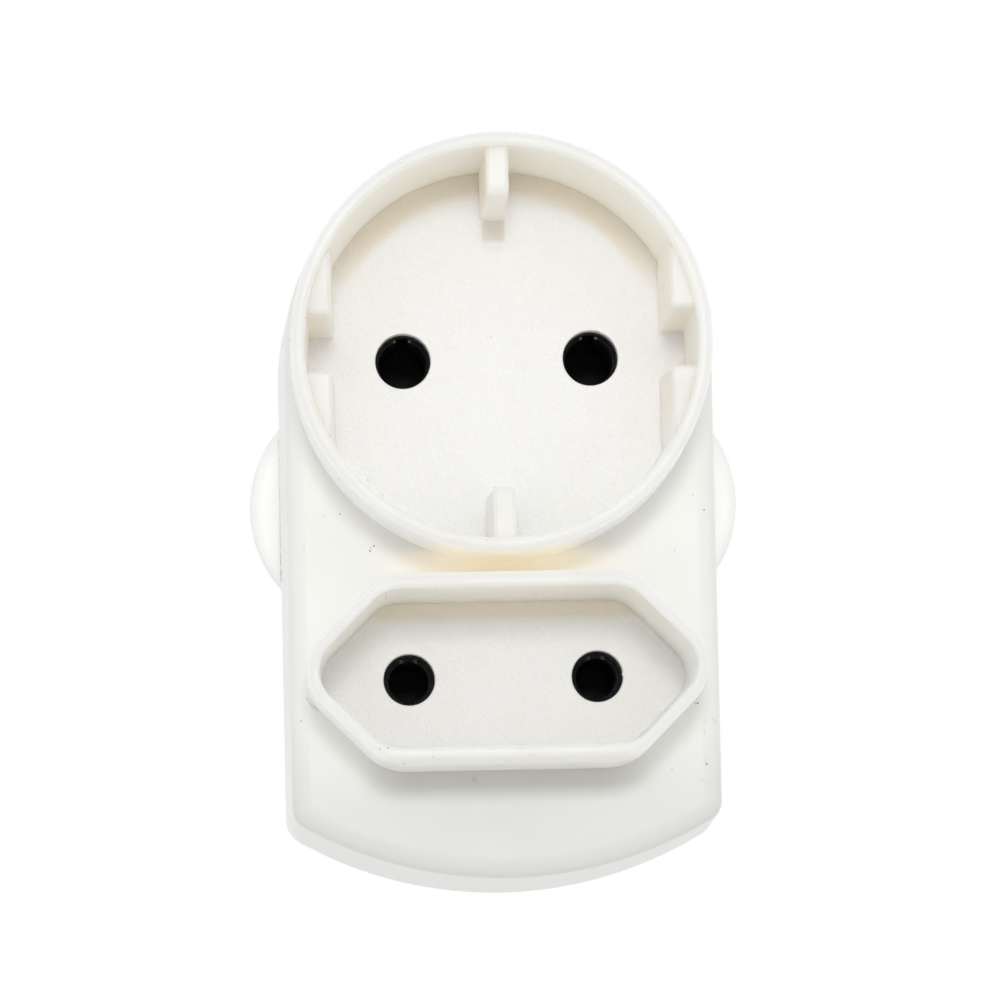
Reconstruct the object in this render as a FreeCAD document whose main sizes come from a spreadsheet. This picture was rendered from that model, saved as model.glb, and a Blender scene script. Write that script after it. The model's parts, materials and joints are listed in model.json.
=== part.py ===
import FreeCAD
import Part
import PartDesign
import Sketcher
import math
import os

# Two-way mains adapter: a round recessed socket above a flat two-pin socket in one housing.
#
# Frame of the finished part: origin between the two plug pins on the plug face, +Z up,
# +Y into the wall, so the sockets look towards -Y.
#
# Every piece is drawn in the front view: sketch x to the right, sketch y up, and z towards
# the person who plugs in. Its Placement then turns z to -Y. Heights along z count from
# the plug face.

Vector = FreeCAD.Vector

SIZES = {
    # Plug side
    "pin_spacing": 19.0,
    "plug_pin_radius": 2.4,
    "plug_pin_reach": 19.0,
    "plug_pin_tip_round": 1.0,
    "plug_shank_radius": 2.6,
    "plug_collar_radius": 3.8,
    "plug_collar_thickness": 1.2,
    "plug_spigot_radius": 1.5,
    "peened_head_radius": 2.3,
    "peened_head_height": 0.9,
    "boss_length": 17.0,
    "boss_radius": 18.5,
    "boss_edge_round": 0.8,
    "boss_end_wall": 2.2,
    "boss_wall": 2.0,
    "boss_flat_offset": 16.4,
    "guide_rib_width": 5.4,
    "earth_notch_width": 6.6,
    "earth_notch_depth": 3.2,
    "tower_radius": 4.5,
    "shank_clearance": 0.05,
    "web_thickness": 1.8,
    "post_radius": 2.0,
    "upper_post_height": 8.6,
    "lower_post_drop": 10.6,
    "post_gap": 0.1,
    # Case
    "body_depth": 40.6,
    "case_margin": 1.25,
    "body_draft": 1.6,
    "bottom_drop": 40.25,
    "bottom_radius": 41.5,
    "corner_radius": 2.9,
    "cavity_corner_radius": 2.0,
    "face_edge_round": 1.0,
    "seam_round": 0.2,
    "shell_wall": 1.8,
    "face_thickness": 1.8,
    "flange_thickness": 3.0,
    "flange_edge_round": 0.6,
    "grip_projection": 3.15,
    "grip_radius": 12.8,
    "grip_edge_round": 1.3,
    "lip_height": 2.0,
    "lip_thickness": 1.2,
    "lip_clearance": 0.15,
    "lip_corner_radius": 1.3,
    # Sockets
    "upper_height": 13.0,
    "lower_drop": 19.3,
    "recess_depth": 17.5,
    "floor_thickness": 1.6,
    "collar_height": 12.3,
    "recess_mouth_radius": 19.5,
    "collar_wall": 1.35,
    "collar_swell": 0.1,
    "recess_floor_radius": 19.1,
    "rim_outer_round": 0.6,
    "rim_inner_round": 0.45,
    "upper_hole_radius": 2.8,
    "lower_hole_radius": 2.6,
    "hole_edge_round": 0.15,
    # Guide ledges and tabs in the round recess
    "ledge_offset": 16.45,
    "ledge_gap": 5.7,
    "ledge_drop": 1.0,
    "ledge_draft": 1.4,
    "ledge_edge_round": 0.3,
    "tab_width": 3.0,
    "tab_reach": 14.1,
    "tab_drop": 0.9,
    "tab_draft": 1.35,
    "wall_bite": 0.8,
    # Hexagonal collar
    "hex_half_height": 9.6,
    "hex_flat_half_length": 12.35,
    "hex_shoulder_radius": 5.8,
    "hex_point_radius": 4.8,
    "hex_draft": 0.45,
    "hex_wall": 1.5,
    "hex_wall_at_point": 1.86,
    "hex_recess_draft": 1.0,
    # Screws and their bosses
    "screw_edge_distance": 8.2,
    "screw_boss_radius": 3.2,
    "screw_shank_radius": 1.25,
    "screw_length": 12.0,
    "screw_head_radius": 2.8,
    "screw_head_height": 1.5,
    "screw_head_round": 0.7,
    "screw_hole_radius": 1.6,
    "screw_recess_radius": 3.1,
    "screw_recess_depth": 1.6,
    "screw_pilot_depth": 11.0,
    "drive_slot_length": 3.2,
    "drive_slot_width": 0.8,
    "drive_slot_depth": 0.9,
    # Live parts
    "strip_standoff": 1.8,
    "strip_thickness": 0.8,
    "strip_half_width": 3.0,
    "strip_end": 2.6,
    "strip_corner_radius": 2.0,
    "contact_thickness": 0.6,
    "upper_bore_radius": 2.45,
    "lower_bore_radius": 2.05,
    "contact_slit": 1.3,
    "contact_mouth_flare": 0.3,
    "foot_half_width": 2.3,
    "foot_corner_radius": 1.0,
    "rivet_offset": 6.2,
    "rivet_shank_radius": 1.1,
    "rivet_head_radius": 1.8,
    "rivet_head_height": 0.7,
    "spring_thickness": 0.4,
    "spring_width": 3.5,
    "spring_setback": 3.0,
    "spring_gap": 2.4,
    # Contact carrier and insulating sheet
    "carrier_clearance": 0.1,
    "carrier_gap": 1.0,
    "carrier_half_width": 15.4,
    "carrier_margin": 5.8,
    "carrier_corner_radius": 3.0,
    "carrier_front_wall": 1.8,
    "carrier_bore_radius": 3.8,
    "carrier_upper_hole_radius": 2.62,
    "carrier_lower_hole_radius": 2.35,
    "carrier_funnel": 0.45,
    "carrier_core_half_width": 4.0,
    "carrier_core_depth": 9.0,
    "peg_radius": 1.25,
    "peg_length": 2.2,
    "peg_clearance": 0.1,
    "sheet_thickness": 0.8,
    "sheet_clearance": 0.2,
    "sheet_corner_radius": 1.0,
}

WING_SIDES = 2
DRIVE_SLOTS = 2
RIGHT_ANGLE = 90.0
FULL_TURN = 360.0
HALF_TURN = 180.0
TOLERANCE = 1e-4

FRONT_VIEW = FreeCAD.Rotation(Vector(1, 0, 0), RIGHT_ANGLE)
UPSIDE_DOWN = FRONT_VIEW.multiply(FreeCAD.Rotation(Vector(0, 0, 1), HALF_TURN))


class Size:
    """A length together with the spreadsheet formula that gives it."""

    def __init__(self, number, formula):
        self.number = number
        self.formula = formula

    def __add__(self, other):
        return Size(self.number + other.number, f"({self.formula} + {other.formula})")

    def __sub__(self, other):
        return Size(self.number - other.number, f"({self.formula} - {other.formula})")

    def __neg__(self):
        return Size(-self.number, f"(-{self.formula})")

    def half(self):
        return Size(self.number / 2, f"({self.formula} / 2)")


class Sizes:
    """The driving dimensions, each as a Size bound to its cell."""

    def __init__(self, table):
        for name, number in table.items():
            setattr(self, name, Size(number, f"Sizes.{name}"))


def fill_sheet(doc, table):
    sheet = doc.addObject("Spreadsheet::Sheet", "Sizes")
    for row, (name, number) in enumerate(table.items(), start=1):
        sheet.set(f"A{row}", name)
        sheet.set(f"B{row}", str(number))
        sheet.setAlias(f"B{row}", name)
    doc.recompute()


s = Sizes(SIZES)
doc = FreeCAD.newDocument("Adapter")
fill_sheet(doc, SIZES)

# Heights along the front view's z
nought = s.boss_length - s.boss_length
case_level = s.boss_length + s.flange_thickness
rim_level = s.boss_length + s.body_depth
face_level = rim_level - s.collar_height
face_back_level = face_level - s.face_thickness
floor_level = rim_level - s.recess_depth
floor_back_level = floor_level - s.floor_thickness
sheet_level = case_level + s.sheet_thickness
strip_level = case_level + s.strip_standoff
strip_top_level = strip_level + s.strip_thickness
foot_top_level = strip_top_level + s.contact_thickness
tower_level = strip_level - s.plug_collar_thickness
carrier_rear_level = foot_top_level + s.carrier_gap
carrier_front_level = floor_back_level - s.carrier_clearance
sleeve_end_level = carrier_front_level - s.carrier_front_wall - s.carrier_clearance
screw_seat_level = s.boss_length + s.screw_recess_depth

# Widths and places in the front view
collar_rim_radius = s.recess_mouth_radius + s.collar_wall
collar_base_radius = collar_rim_radius + s.collar_swell
body_half_width = collar_base_radius + s.case_margin
hex_point_offset = s.hex_flat_half_length + s.hex_half_height
pin_x = s.pin_spacing.half()
upper_y = s.upper_height
lower_y = -s.lower_drop
upper_screw_y = upper_y + body_half_width - s.screw_edge_distance
lower_screw_y = s.screw_edge_distance - s.bottom_drop
upper_post_y = s.upper_post_height
lower_post_y = -s.lower_post_drop
rivet_y = {"upper": upper_y - s.rivet_offset, "lower": lower_y + s.rivet_offset}


# Documents, bodies and bound values

def bind(thing, prop, size):
    thing.setExpression(prop, size.formula)


def new_body(label, x=nought, y=nought, rotation=FRONT_VIEW):
    """A piece drawn in the front view, with its own axis at x, y."""
    body = doc.addObject("PartDesign::Body", label)
    body.Label = label
    body.Placement = FreeCAD.Placement(Vector(x.number, 0, y.number), rotation)
    bind(body, "Placement.Base.x", x)
    bind(body, "Placement.Base.z", y)
    return body


def origin_plane(body, role):
    return next(item for item in body.Origin.OriginFeatures if item.Role == role)


def new_sketch(body, name, level=None, role="XY_Plane"):
    sketch = body.newObject("Sketcher::SketchObject", name)
    sketch.AttachmentSupport = [(origin_plane(body, role), "")]
    sketch.MapMode = "FlatFace"
    if level is not None:
        bind(sketch, "AttachmentOffset.Base.z", level)
    return sketch


# Sketch geometry, each point and radius bound to the sheet

def constrain(sketch, kind, *parts):
    return sketch.addConstraint(Sketcher.Constraint(kind, *parts))


def bound_constraint(sketch, kind, places, size):
    index = constrain(sketch, kind, *places, size.number)
    bind(sketch, f"Constraints[{index}]", size)


def place_point(sketch, geometry, point, x, y):
    bound_constraint(sketch, "DistanceX", (-1, 1, geometry, point), x)
    bound_constraint(sketch, "DistanceY", (-1, 1, geometry, point), y)


def bind_radius(sketch, geometry, radius):
    bound_constraint(sketch, "Radius", (geometry,), radius)


def add_line(sketch, start, end):
    return sketch.addGeometry(Part.LineSegment(Vector(*start, 0), Vector(*end, 0)), False)


def add_arc(sketch, centre, radius, start_angle, end_angle):
    circle = Part.Circle(Vector(*centre, 0), Vector(0, 0, 1), radius)
    return sketch.addGeometry(Part.ArcOfCircle(circle, start_angle, end_angle), False)


def draw_circle(sketch, x, y, radius):
    circle = Part.Circle(Vector(x.number, y.number, 0), Vector(0, 0, 1), radius.number)
    geometry = sketch.addGeometry(circle, False)
    place_point(sketch, geometry, 3, x, y)
    bind_radius(sketch, geometry, radius)


def draw_polygon(sketch, corners):
    """Straight lines from corner to corner. Returns the first line's number."""
    count = len(corners)
    points = [(x.number, y.number) for x, y in corners]
    lines = [add_line(sketch, points[i], points[(i + 1) % count]) for i in range(count)]
    for i in range(count):
        constrain(sketch, "Coincident", lines[i], 2, lines[(i + 1) % count], 1)
    for line, (x, y) in zip(lines, corners):
        place_point(sketch, line, 1, x, y)
    return lines[0]


def draw_rectangle(sketch, left, right, bottom, top):
    draw_polygon(sketch, [(left, bottom), (right, bottom), (right, top), (left, top)])


def draw_rounded_polygon(sketch, corners, radii):
    """A convex outline, corners given anticlockwise, each round or, with no radius, sharp."""
    count = len(corners)
    points = [Vector(x.number, y.number, 0) for x, y in corners]
    arcs = []
    ends = []
    for i, point in enumerate(points):
        if radii[i] is None:
            arcs.append(None)
            ends.append((point, point))
            continue
        back = (points[i - 1] - point).normalize()
        ahead = (points[(i + 1) % count] - point).normalize()
        half_angle = back.getAngle(ahead) / 2
        radius = radii[i].number
        to_centre = (back + ahead).normalize() * (radius / math.sin(half_angle))
        centre = point + to_centre
        run = radius / math.tan(half_angle)
        first = point + back * run
        last = point + ahead * run
        start_angle = math.atan2(first.y - centre.y, first.x - centre.x)
        end_angle = math.atan2(last.y - centre.y, last.x - centre.x)
        arcs.append(add_arc(sketch, (centre.x, centre.y), radius, start_angle, end_angle))
        ends.append((first, last))
    lines = []
    for i in range(count):
        start = ends[i][1]
        end = ends[(i + 1) % count][0]
        lines.append(add_line(sketch, (start.x, start.y), (end.x, end.y)))
    for i, (x, y) in enumerate(corners):
        if arcs[i] is None:
            constrain(sketch, "Coincident", lines[i - 1], 2, lines[i], 1)
            place_point(sketch, lines[i], 1, x, y)
            continue
        constrain(sketch, "Tangent", lines[i - 1], 2, arcs[i], 1)
        constrain(sketch, "Tangent", arcs[i], 2, lines[i], 1)
        bind_radius(sketch, arcs[i], radii[i])
        corner = sketch.addGeometry(Part.Point(points[i]), True)
        place_point(sketch, corner, 1, x, y)
        constrain(sketch, "PointOnObject", corner, 1, lines[i - 1])
        constrain(sketch, "PointOnObject", corner, 1, lines[i])


def draw_rounded_rectangle(sketch, left, right, bottom, top, radius):
    corners = [(left, bottom), (right, bottom), (right, top), (left, top)]
    draw_rounded_polygon(sketch, corners, [radius] * len(corners))


def draw_case_outline(sketch, inset, corner_radius):
    """Straight sides, a half-round top about the upper socket and a wide arc below."""
    half_width = body_half_width - inset
    bottom_radius = s.bottom_radius - inset
    bottom_centre = s.bottom_radius - s.bottom_drop
    half = half_width.number
    corner = corner_radius.number
    radius = bottom_radius.number
    centre_y = bottom_centre.number
    corner_x = half - corner
    corner_y = centre_y - math.sqrt((radius - corner) ** 2 - corner_x ** 2)
    left_angle = math.atan2(corner_y - centre_y, -corner_x) + 2 * math.pi
    right_angle = math.atan2(corner_y - centre_y, corner_x) + 2 * math.pi
    top_y = upper_y.number

    top = add_arc(sketch, (0, top_y), half, 0, math.pi)
    left = add_line(sketch, (-half, top_y), (-half, corner_y))
    left_corner = add_arc(sketch, (-corner_x, corner_y), corner, math.pi, left_angle)
    bottom = add_arc(sketch, (0, centre_y), radius, left_angle, right_angle)
    right_corner = add_arc(sketch, (corner_x, corner_y), corner, right_angle, 2 * math.pi)
    right = add_line(sketch, (half, corner_y), (half, top_y))

    around = [top, left, left_corner, bottom, right_corner, right]
    for i, piece in enumerate(around):
        constrain(sketch, "Tangent", piece, 2, around[(i + 1) % len(around)], 1)
    constrain(sketch, "Vertical", left)
    constrain(sketch, "Vertical", right)
    place_point(sketch, top, 3, nought, upper_y)
    place_point(sketch, bottom, 3, nought, bottom_centre)
    bind_radius(sketch, top, half_width)
    bind_radius(sketch, bottom, bottom_radius)
    bind_radius(sketch, left_corner, corner_radius)
    bind_radius(sketch, right_corner, corner_radius)


# Features

def add_pad(body, name, sketch, length, taper=None):
    """Material from the sketch towards the front, narrowing by the taper."""
    pad = body.newObject("PartDesign::Pad", name)
    pad.Profile = sketch
    bind(pad, "Length", length)
    if taper is not None:
        bind(pad, "TaperAngle", -taper)
    sketch.Visibility = False
    return pad


def add_pocket(body, name, sketch, length, forward=False, taper=None):
    """A cut from the sketch towards the back, or forward, narrowing by the taper."""
    pocket = body.newObject("PartDesign::Pocket", name)
    pocket.Profile = sketch
    pocket.Reversed = forward
    bind(pocket, "Length", length)
    if taper is not None:
        bind(pocket, "TaperAngle", -taper)
    sketch.Visibility = False
    return pocket


def add_turned(body, name, kind, profile, x=None, y=nought, radii=None):
    """A revolved piece or cut about an axis at x, y. The profile's corners are
    (radius, height along z), with the first and the last on the axis."""
    sketch = new_sketch(body, name + "Profile", x, role="YZ_Plane")
    corners = [(y + radius, level) for radius, level in profile]
    if radii is None:
        draw_polygon(sketch, corners)
    else:
        draw_rounded_polygon(sketch, corners, radii)
    ends = corners[-1], corners[0]
    axis = add_line(sketch, *[(across.number, level.number) for across, level in ends])
    sketch.toggleConstruction(axis)
    for end, (across, level) in enumerate(ends, start=1):
        place_point(sketch, axis, end, across, level)
    turned = body.newObject("PartDesign::" + kind, name)
    turned.Profile = sketch
    turned.ReferenceAxis = (sketch, ["Axis0"])
    turned.Angle = FULL_TURN
    sketch.Visibility = False
    return turned


def edge_names(feature, test):
    return [f"Edge{i}" for i, edge in enumerate(feature.Shape.Edges, start=1) if test(edge)]


def add_fillet(body, name, radius, test):
    doc.recompute()
    base = body.Tip
    fillet = body.newObject("PartDesign::Fillet", name)
    fillet.Base = (base, edge_names(base, test))
    bind(fillet, "Radius", radius)


def add_chamfer(body, name, size, test):
    doc.recompute()
    base = body.Tip
    chamfer = body.newObject("PartDesign::Chamfer", name)
    chamfer.Base = (base, edge_names(base, test))
    bind(chamfer, "Size", size)


def lies_at(edge, level):
    box = edge.BoundBox
    return abs(box.ZMin - level.number) < TOLERANCE and abs(box.ZMax - level.number) < TOLERANCE


def circle_at(edge, level, radius):
    is_circle = isinstance(edge.Curve, Part.Circle)
    return is_circle and lies_at(edge, level) and abs(edge.Curve.Radius - radius.number) < TOLERANCE


# Front housing

def hexagon(inset, slant_inset):
    """Corners of the flat socket's outline, with 45 degree slants, inside the wall."""
    half_height = s.hex_half_height - inset
    shoulder = s.hex_flat_half_length - slant_inset + inset
    point = hex_point_offset - slant_inset
    top = lower_y + half_height
    bottom = lower_y - half_height
    return [(-shoulder, bottom), (shoulder, bottom), (point, lower_y),
            (shoulder, top), (-shoulder, top), (-point, lower_y)]


def draw_hexagon(sketch, inset, slant_inset):
    shoulder = s.hex_shoulder_radius - inset
    point = s.hex_point_radius - inset
    radii = [shoulder, shoulder, point, shoulder, shoulder, point]
    draw_rounded_polygon(sketch, hexagon(inset, slant_inset), radii)


def draw_ledge(sketch, side, up):
    """One guide ledge: a flat inner side, a flat end at the gap and an arc in the wall."""
    wall_radius = s.recess_floor_radius + s.wall_bite
    offset = s.ledge_offset if side > 0 else -s.ledge_offset
    gap_end = s.ledge_gap.half() if up > 0 else -s.ledge_gap.half()
    end_y = upper_y + gap_end
    radius = wall_radius.number
    reach = up * math.sqrt(radius ** 2 - offset.number ** 2)
    outer_x = side * math.sqrt(radius ** 2 - gap_end.number ** 2)
    centre_y = upper_y.number
    inner = (offset.number, end_y.number)
    tip = (offset.number, centre_y + reach)
    outer = (outer_x, end_y.number)
    tip_angle = math.atan2(reach, offset.number) % (2 * math.pi)
    outer_angle = math.atan2(gap_end.number, outer_x) % (2 * math.pi)
    anticlockwise = side * up > 0
    flat = add_line(sketch, inner, tip)
    end = add_line(sketch, outer, inner)
    first, last = (outer_angle, tip_angle) if anticlockwise else (tip_angle, outer_angle)
    arc = add_arc(sketch, (0, centre_y), radius, first, last)
    arc_at_tip, arc_at_outer = (2, 1) if anticlockwise else (1, 2)
    constrain(sketch, "Coincident", flat, 1, end, 2)
    constrain(sketch, "Coincident", flat, 2, arc, arc_at_tip)
    constrain(sketch, "Coincident", end, 1, arc, arc_at_outer)
    constrain(sketch, "Vertical", flat)
    constrain(sketch, "Horizontal", end)
    place_point(sketch, flat, 1, offset, end_y)
    place_point(sketch, arc, 3, nought, upper_y)
    bind_radius(sketch, arc, wall_radius)


def draw_tab(sketch, up):
    """A plastic tab in place of an earth contact, rooted in the recess wall."""
    root = s.recess_floor_radius + s.wall_bite
    if up > 0:
        bottom, top = upper_y + s.tab_reach, upper_y + root
    else:
        bottom, top = upper_y - root, upper_y - s.tab_reach
    draw_rectangle(sketch, -s.tab_width.half(), s.tab_width.half(), bottom, top)


def make_front_housing():
    body = new_body("front_housing")

    outline = new_sketch(body, "CaseOutline", case_level)
    draw_case_outline(outline, nought, s.corner_radius)
    add_pad(body, "CaseShell", outline, face_level - case_level, s.body_draft)
    add_fillet(body, "FaceEdge", s.face_edge_round, lambda edge: lies_at(edge, face_level))
    add_fillet(body, "SeamEdge", s.seam_round, lambda edge: lies_at(edge, case_level))

    cavity = new_sketch(body, "CavityOutline", case_level)
    draw_case_outline(cavity, s.shell_wall, s.cavity_corner_radius)
    add_pocket(body, "Cavity", cavity, face_back_level - case_level, True, s.body_draft)

    bosses = new_sketch(body, "ScrewBossCircles", sheet_level)
    draw_circle(bosses, nought, upper_screw_y, s.screw_boss_radius)
    draw_circle(bosses, nought, lower_screw_y, s.screw_boss_radius)
    add_pad(body, "ScrewBosses", bosses, face_level - sheet_level - s.face_edge_round)

    add_turned(body, "RoundCollar", "Revolution", [
        (nought, floor_back_level),
        (collar_base_radius, floor_back_level),
        (collar_base_radius, face_level),
        (collar_rim_radius, rim_level),
        (nought, rim_level)], y=upper_y)

    collar = new_sketch(body, "HexCollarOutline", floor_back_level)
    draw_hexagon(collar, nought, nought)
    add_pad(body, "HexCollar", collar, rim_level - floor_back_level, s.hex_draft)

    add_turned(body, "RoundRecess", "Groove", [
        (nought, floor_level),
        (s.recess_floor_radius, floor_level),
        (s.recess_mouth_radius, rim_level),
        (nought, rim_level)], y=upper_y)

    recess = new_sketch(body, "HexRecessOutline", rim_level)
    draw_hexagon(recess, s.hex_wall, s.hex_wall_at_point)
    add_pocket(body, "HexRecess", recess, s.recess_depth, taper=s.hex_recess_draft)

    mid_wall_radius = (s.recess_mouth_radius + collar_rim_radius).half().number
    mid_wall_height = (s.hex_half_height - s.hex_wall.half()).number
    mid_wall_point = (hex_point_offset - s.hex_wall_at_point.half()).number

    def on_rim(edge, inner):
        if not lies_at(edge, rim_level):
            return False
        middle = edge.valueAt((edge.FirstParameter + edge.LastParameter) / 2)
        from_upper = math.hypot(middle.x, middle.y - upper_y.number)
        rise = abs(middle.y - lower_y.number)
        in_round = from_upper < mid_wall_radius
        in_flat = rise < min(mid_wall_height, mid_wall_point - abs(middle.x))
        return (in_round or in_flat) == inner

    add_fillet(body, "RimOuterEdge", s.rim_outer_round, lambda edge: on_rim(edge, False))
    add_fillet(body, "RimInnerEdge", s.rim_inner_round, lambda edge: on_rim(edge, True))

    ledges = new_sketch(body, "LedgeOutlines", floor_level)
    for side in (-1, 1):
        for up in (-1, 1):
            draw_ledge(ledges, side, up)
    add_pad(body, "GuideLedges", ledges, s.recess_depth - s.ledge_drop, s.ledge_draft)

    tabs = new_sketch(body, "TabOutlines", floor_level)
    draw_tab(tabs, 1)
    draw_tab(tabs, -1)
    add_pad(body, "Tabs", tabs, s.recess_depth - s.tab_drop, s.tab_draft)

    holes = new_sketch(body, "PinHoleCircles", floor_level)
    for x in (-pin_x, pin_x):
        draw_circle(holes, x, upper_y, s.upper_hole_radius)
        draw_circle(holes, x, lower_y, s.lower_hole_radius)
    add_pocket(body, "PinHoles", holes, s.floor_thickness)

    pilots = new_sketch(body, "PilotCircles", sheet_level)
    draw_circle(pilots, nought, upper_screw_y, s.screw_shank_radius)
    draw_circle(pilots, nought, lower_screw_y, s.screw_shank_radius)
    add_pocket(body, "Pilots", pilots, s.screw_pilot_depth, True)

    pegs = new_sketch(body, "PegCircles", floor_back_level - s.peg_length)
    draw_circle(pegs, nought, upper_y, s.peg_radius)
    draw_circle(pegs, nought, lower_y, s.peg_radius)
    add_pad(body, "CarrierPegs", pegs, s.peg_length)

    def hole_mouth(edge):
        upper = circle_at(edge, floor_level, s.upper_hole_radius)
        return upper or circle_at(edge, floor_level, s.lower_hole_radius)

    add_fillet(body, "HoleEdges", s.hole_edge_round, hole_mouth)
    return body


# Rear cover

def make_rear_cover():
    body = new_body("rear_cover")

    plate = new_sketch(body, "FlangeOutline", s.boss_length)
    draw_case_outline(plate, nought, s.corner_radius)
    add_pad(body, "Flange", plate, s.flange_thickness)
    add_fillet(body, "FlangeEdge", s.flange_edge_round,
               lambda edge: lies_at(edge, s.boss_length))
    add_fillet(body, "SeamEdge", s.seam_round, lambda edge: lies_at(edge, case_level))

    grip_axis = body_half_width + s.grip_projection - s.grip_radius
    grip = add_turned(body, "RightGrip", "Revolution", [
        (nought, s.boss_length),
        (s.grip_radius, s.boss_length),
        (s.grip_radius, case_level),
        (nought, case_level)],
        x=grip_axis, radii=[None, s.grip_edge_round, s.grip_edge_round, None])
    mirror = body.newObject("PartDesign::Mirrored", "LeftGrip")
    mirror.Originals = [grip]
    mirror.MirrorPlane = (origin_plane(body, "YZ_Plane"), [""])
    body.Tip = mirror

    boss = new_sketch(body, "BossCircle", nought)
    draw_circle(boss, nought, nought, s.boss_radius)
    add_pad(body, "PlugBoss", boss, s.boss_length)
    add_fillet(body, "BossEdge", s.boss_edge_round,
               lambda edge: circle_at(edge, nought, s.boss_radius))

    # Side flats leave a guide rib in the middle, and the notches clear a wall socket's
    # earth springs
    rib = s.guide_rib_width.half()
    notch = s.earth_notch_width.half()
    notch_floor = s.boss_radius - s.earth_notch_depth
    flat_end = s.boss_radius.half()
    reliefs = new_sketch(body, "ReliefOutlines", nought)
    draw_rectangle(reliefs, s.boss_flat_offset, s.boss_radius, rib, s.boss_radius)
    draw_rectangle(reliefs, s.boss_flat_offset, s.boss_radius, -s.boss_radius, -rib)
    draw_rectangle(reliefs, -s.boss_radius, -s.boss_flat_offset, rib, s.boss_radius)
    draw_rectangle(reliefs, -s.boss_radius, -s.boss_flat_offset, -s.boss_radius, -rib)
    draw_rectangle(reliefs, -notch, notch, notch_floor, s.boss_radius)
    draw_rectangle(reliefs, -notch, notch, -s.boss_radius, -notch_floor)
    add_pocket(body, "Reliefs", reliefs, s.boss_length, True)

    cavity_radius = s.boss_radius - s.boss_wall
    cavity = new_sketch(body, "BossCavityCircle", case_level)
    draw_circle(cavity, nought, nought, cavity_radius)
    add_pocket(body, "BossCavity", cavity, case_level - s.boss_end_wall)

    # The wall follows the flats and the notches, and a web joins the two sides
    flat_inside = s.boss_flat_offset - s.boss_wall
    notch_inside = notch_floor - s.boss_wall
    beside_notch = notch + s.boss_wall
    half_web = s.web_thickness.half()
    walls = new_sketch(body, "InnerWallOutlines", nought)
    draw_rectangle(walls, flat_inside, s.boss_flat_offset, -flat_end, flat_end)
    draw_rectangle(walls, -s.boss_flat_offset, -flat_inside, -flat_end, flat_end)
    draw_polygon(walls, [
        (-half_web, -notch_inside), (-beside_notch, -notch_inside),
        (-beside_notch, -notch_floor), (beside_notch, -notch_floor),
        (beside_notch, -notch_inside), (half_web, -notch_inside),
        (half_web, notch_inside), (beside_notch, notch_inside),
        (beside_notch, notch_floor), (-beside_notch, notch_floor),
        (-beside_notch, notch_inside), (-half_web, notch_inside)])
    add_pad(body, "InnerWalls", walls, case_level)

    posts = new_sketch(body, "PostCircles", nought)
    draw_circle(posts, nought, upper_post_y, s.post_radius)
    draw_circle(posts, nought, lower_post_y, s.post_radius)
    add_pad(body, "CarrierPosts", posts, carrier_rear_level - s.post_gap)

    towers = new_sketch(body, "TowerCircles", nought)
    draw_circle(towers, -pin_x, nought, s.tower_radius)
    draw_circle(towers, pin_x, nought, s.tower_radius)
    add_pad(body, "PinTowers", towers, tower_level)

    shanks = new_sketch(body, "ShankCircles", nought)
    draw_circle(shanks, -pin_x, nought, s.plug_shank_radius + s.shank_clearance)
    draw_circle(shanks, pin_x, nought, s.plug_shank_radius + s.shank_clearance)
    add_pocket(body, "ShankHoles", shanks, tower_level, True)

    lip = new_sketch(body, "LipOutlines", case_level)
    lip_inset = s.shell_wall + s.lip_clearance
    draw_case_outline(lip, lip_inset, s.cavity_corner_radius)
    draw_case_outline(lip, lip_inset + s.lip_thickness, s.lip_corner_radius)
    add_pad(body, "LocatingLip", lip, s.lip_height)

    doc.recompute()
    screw_centres = new_sketch(body, "ScrewHoleCircles", s.boss_length)
    draw_circle(screw_centres, nought, upper_screw_y, s.screw_hole_radius)
    draw_circle(screw_centres, nought, lower_screw_y, s.screw_hole_radius)
    add_pocket(body, "ScrewHoles", screw_centres, s.flange_thickness, True)
    seats = new_sketch(body, "ScrewRecessCircles", s.boss_length)
    draw_circle(seats, nought, upper_screw_y, s.screw_recess_radius)
    draw_circle(seats, nought, lower_screw_y, s.screw_recess_radius)
    add_pocket(body, "ScrewRecesses", seats, s.screw_recess_depth, True)
    return body


# Contact carrier and insulating sheet

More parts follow.
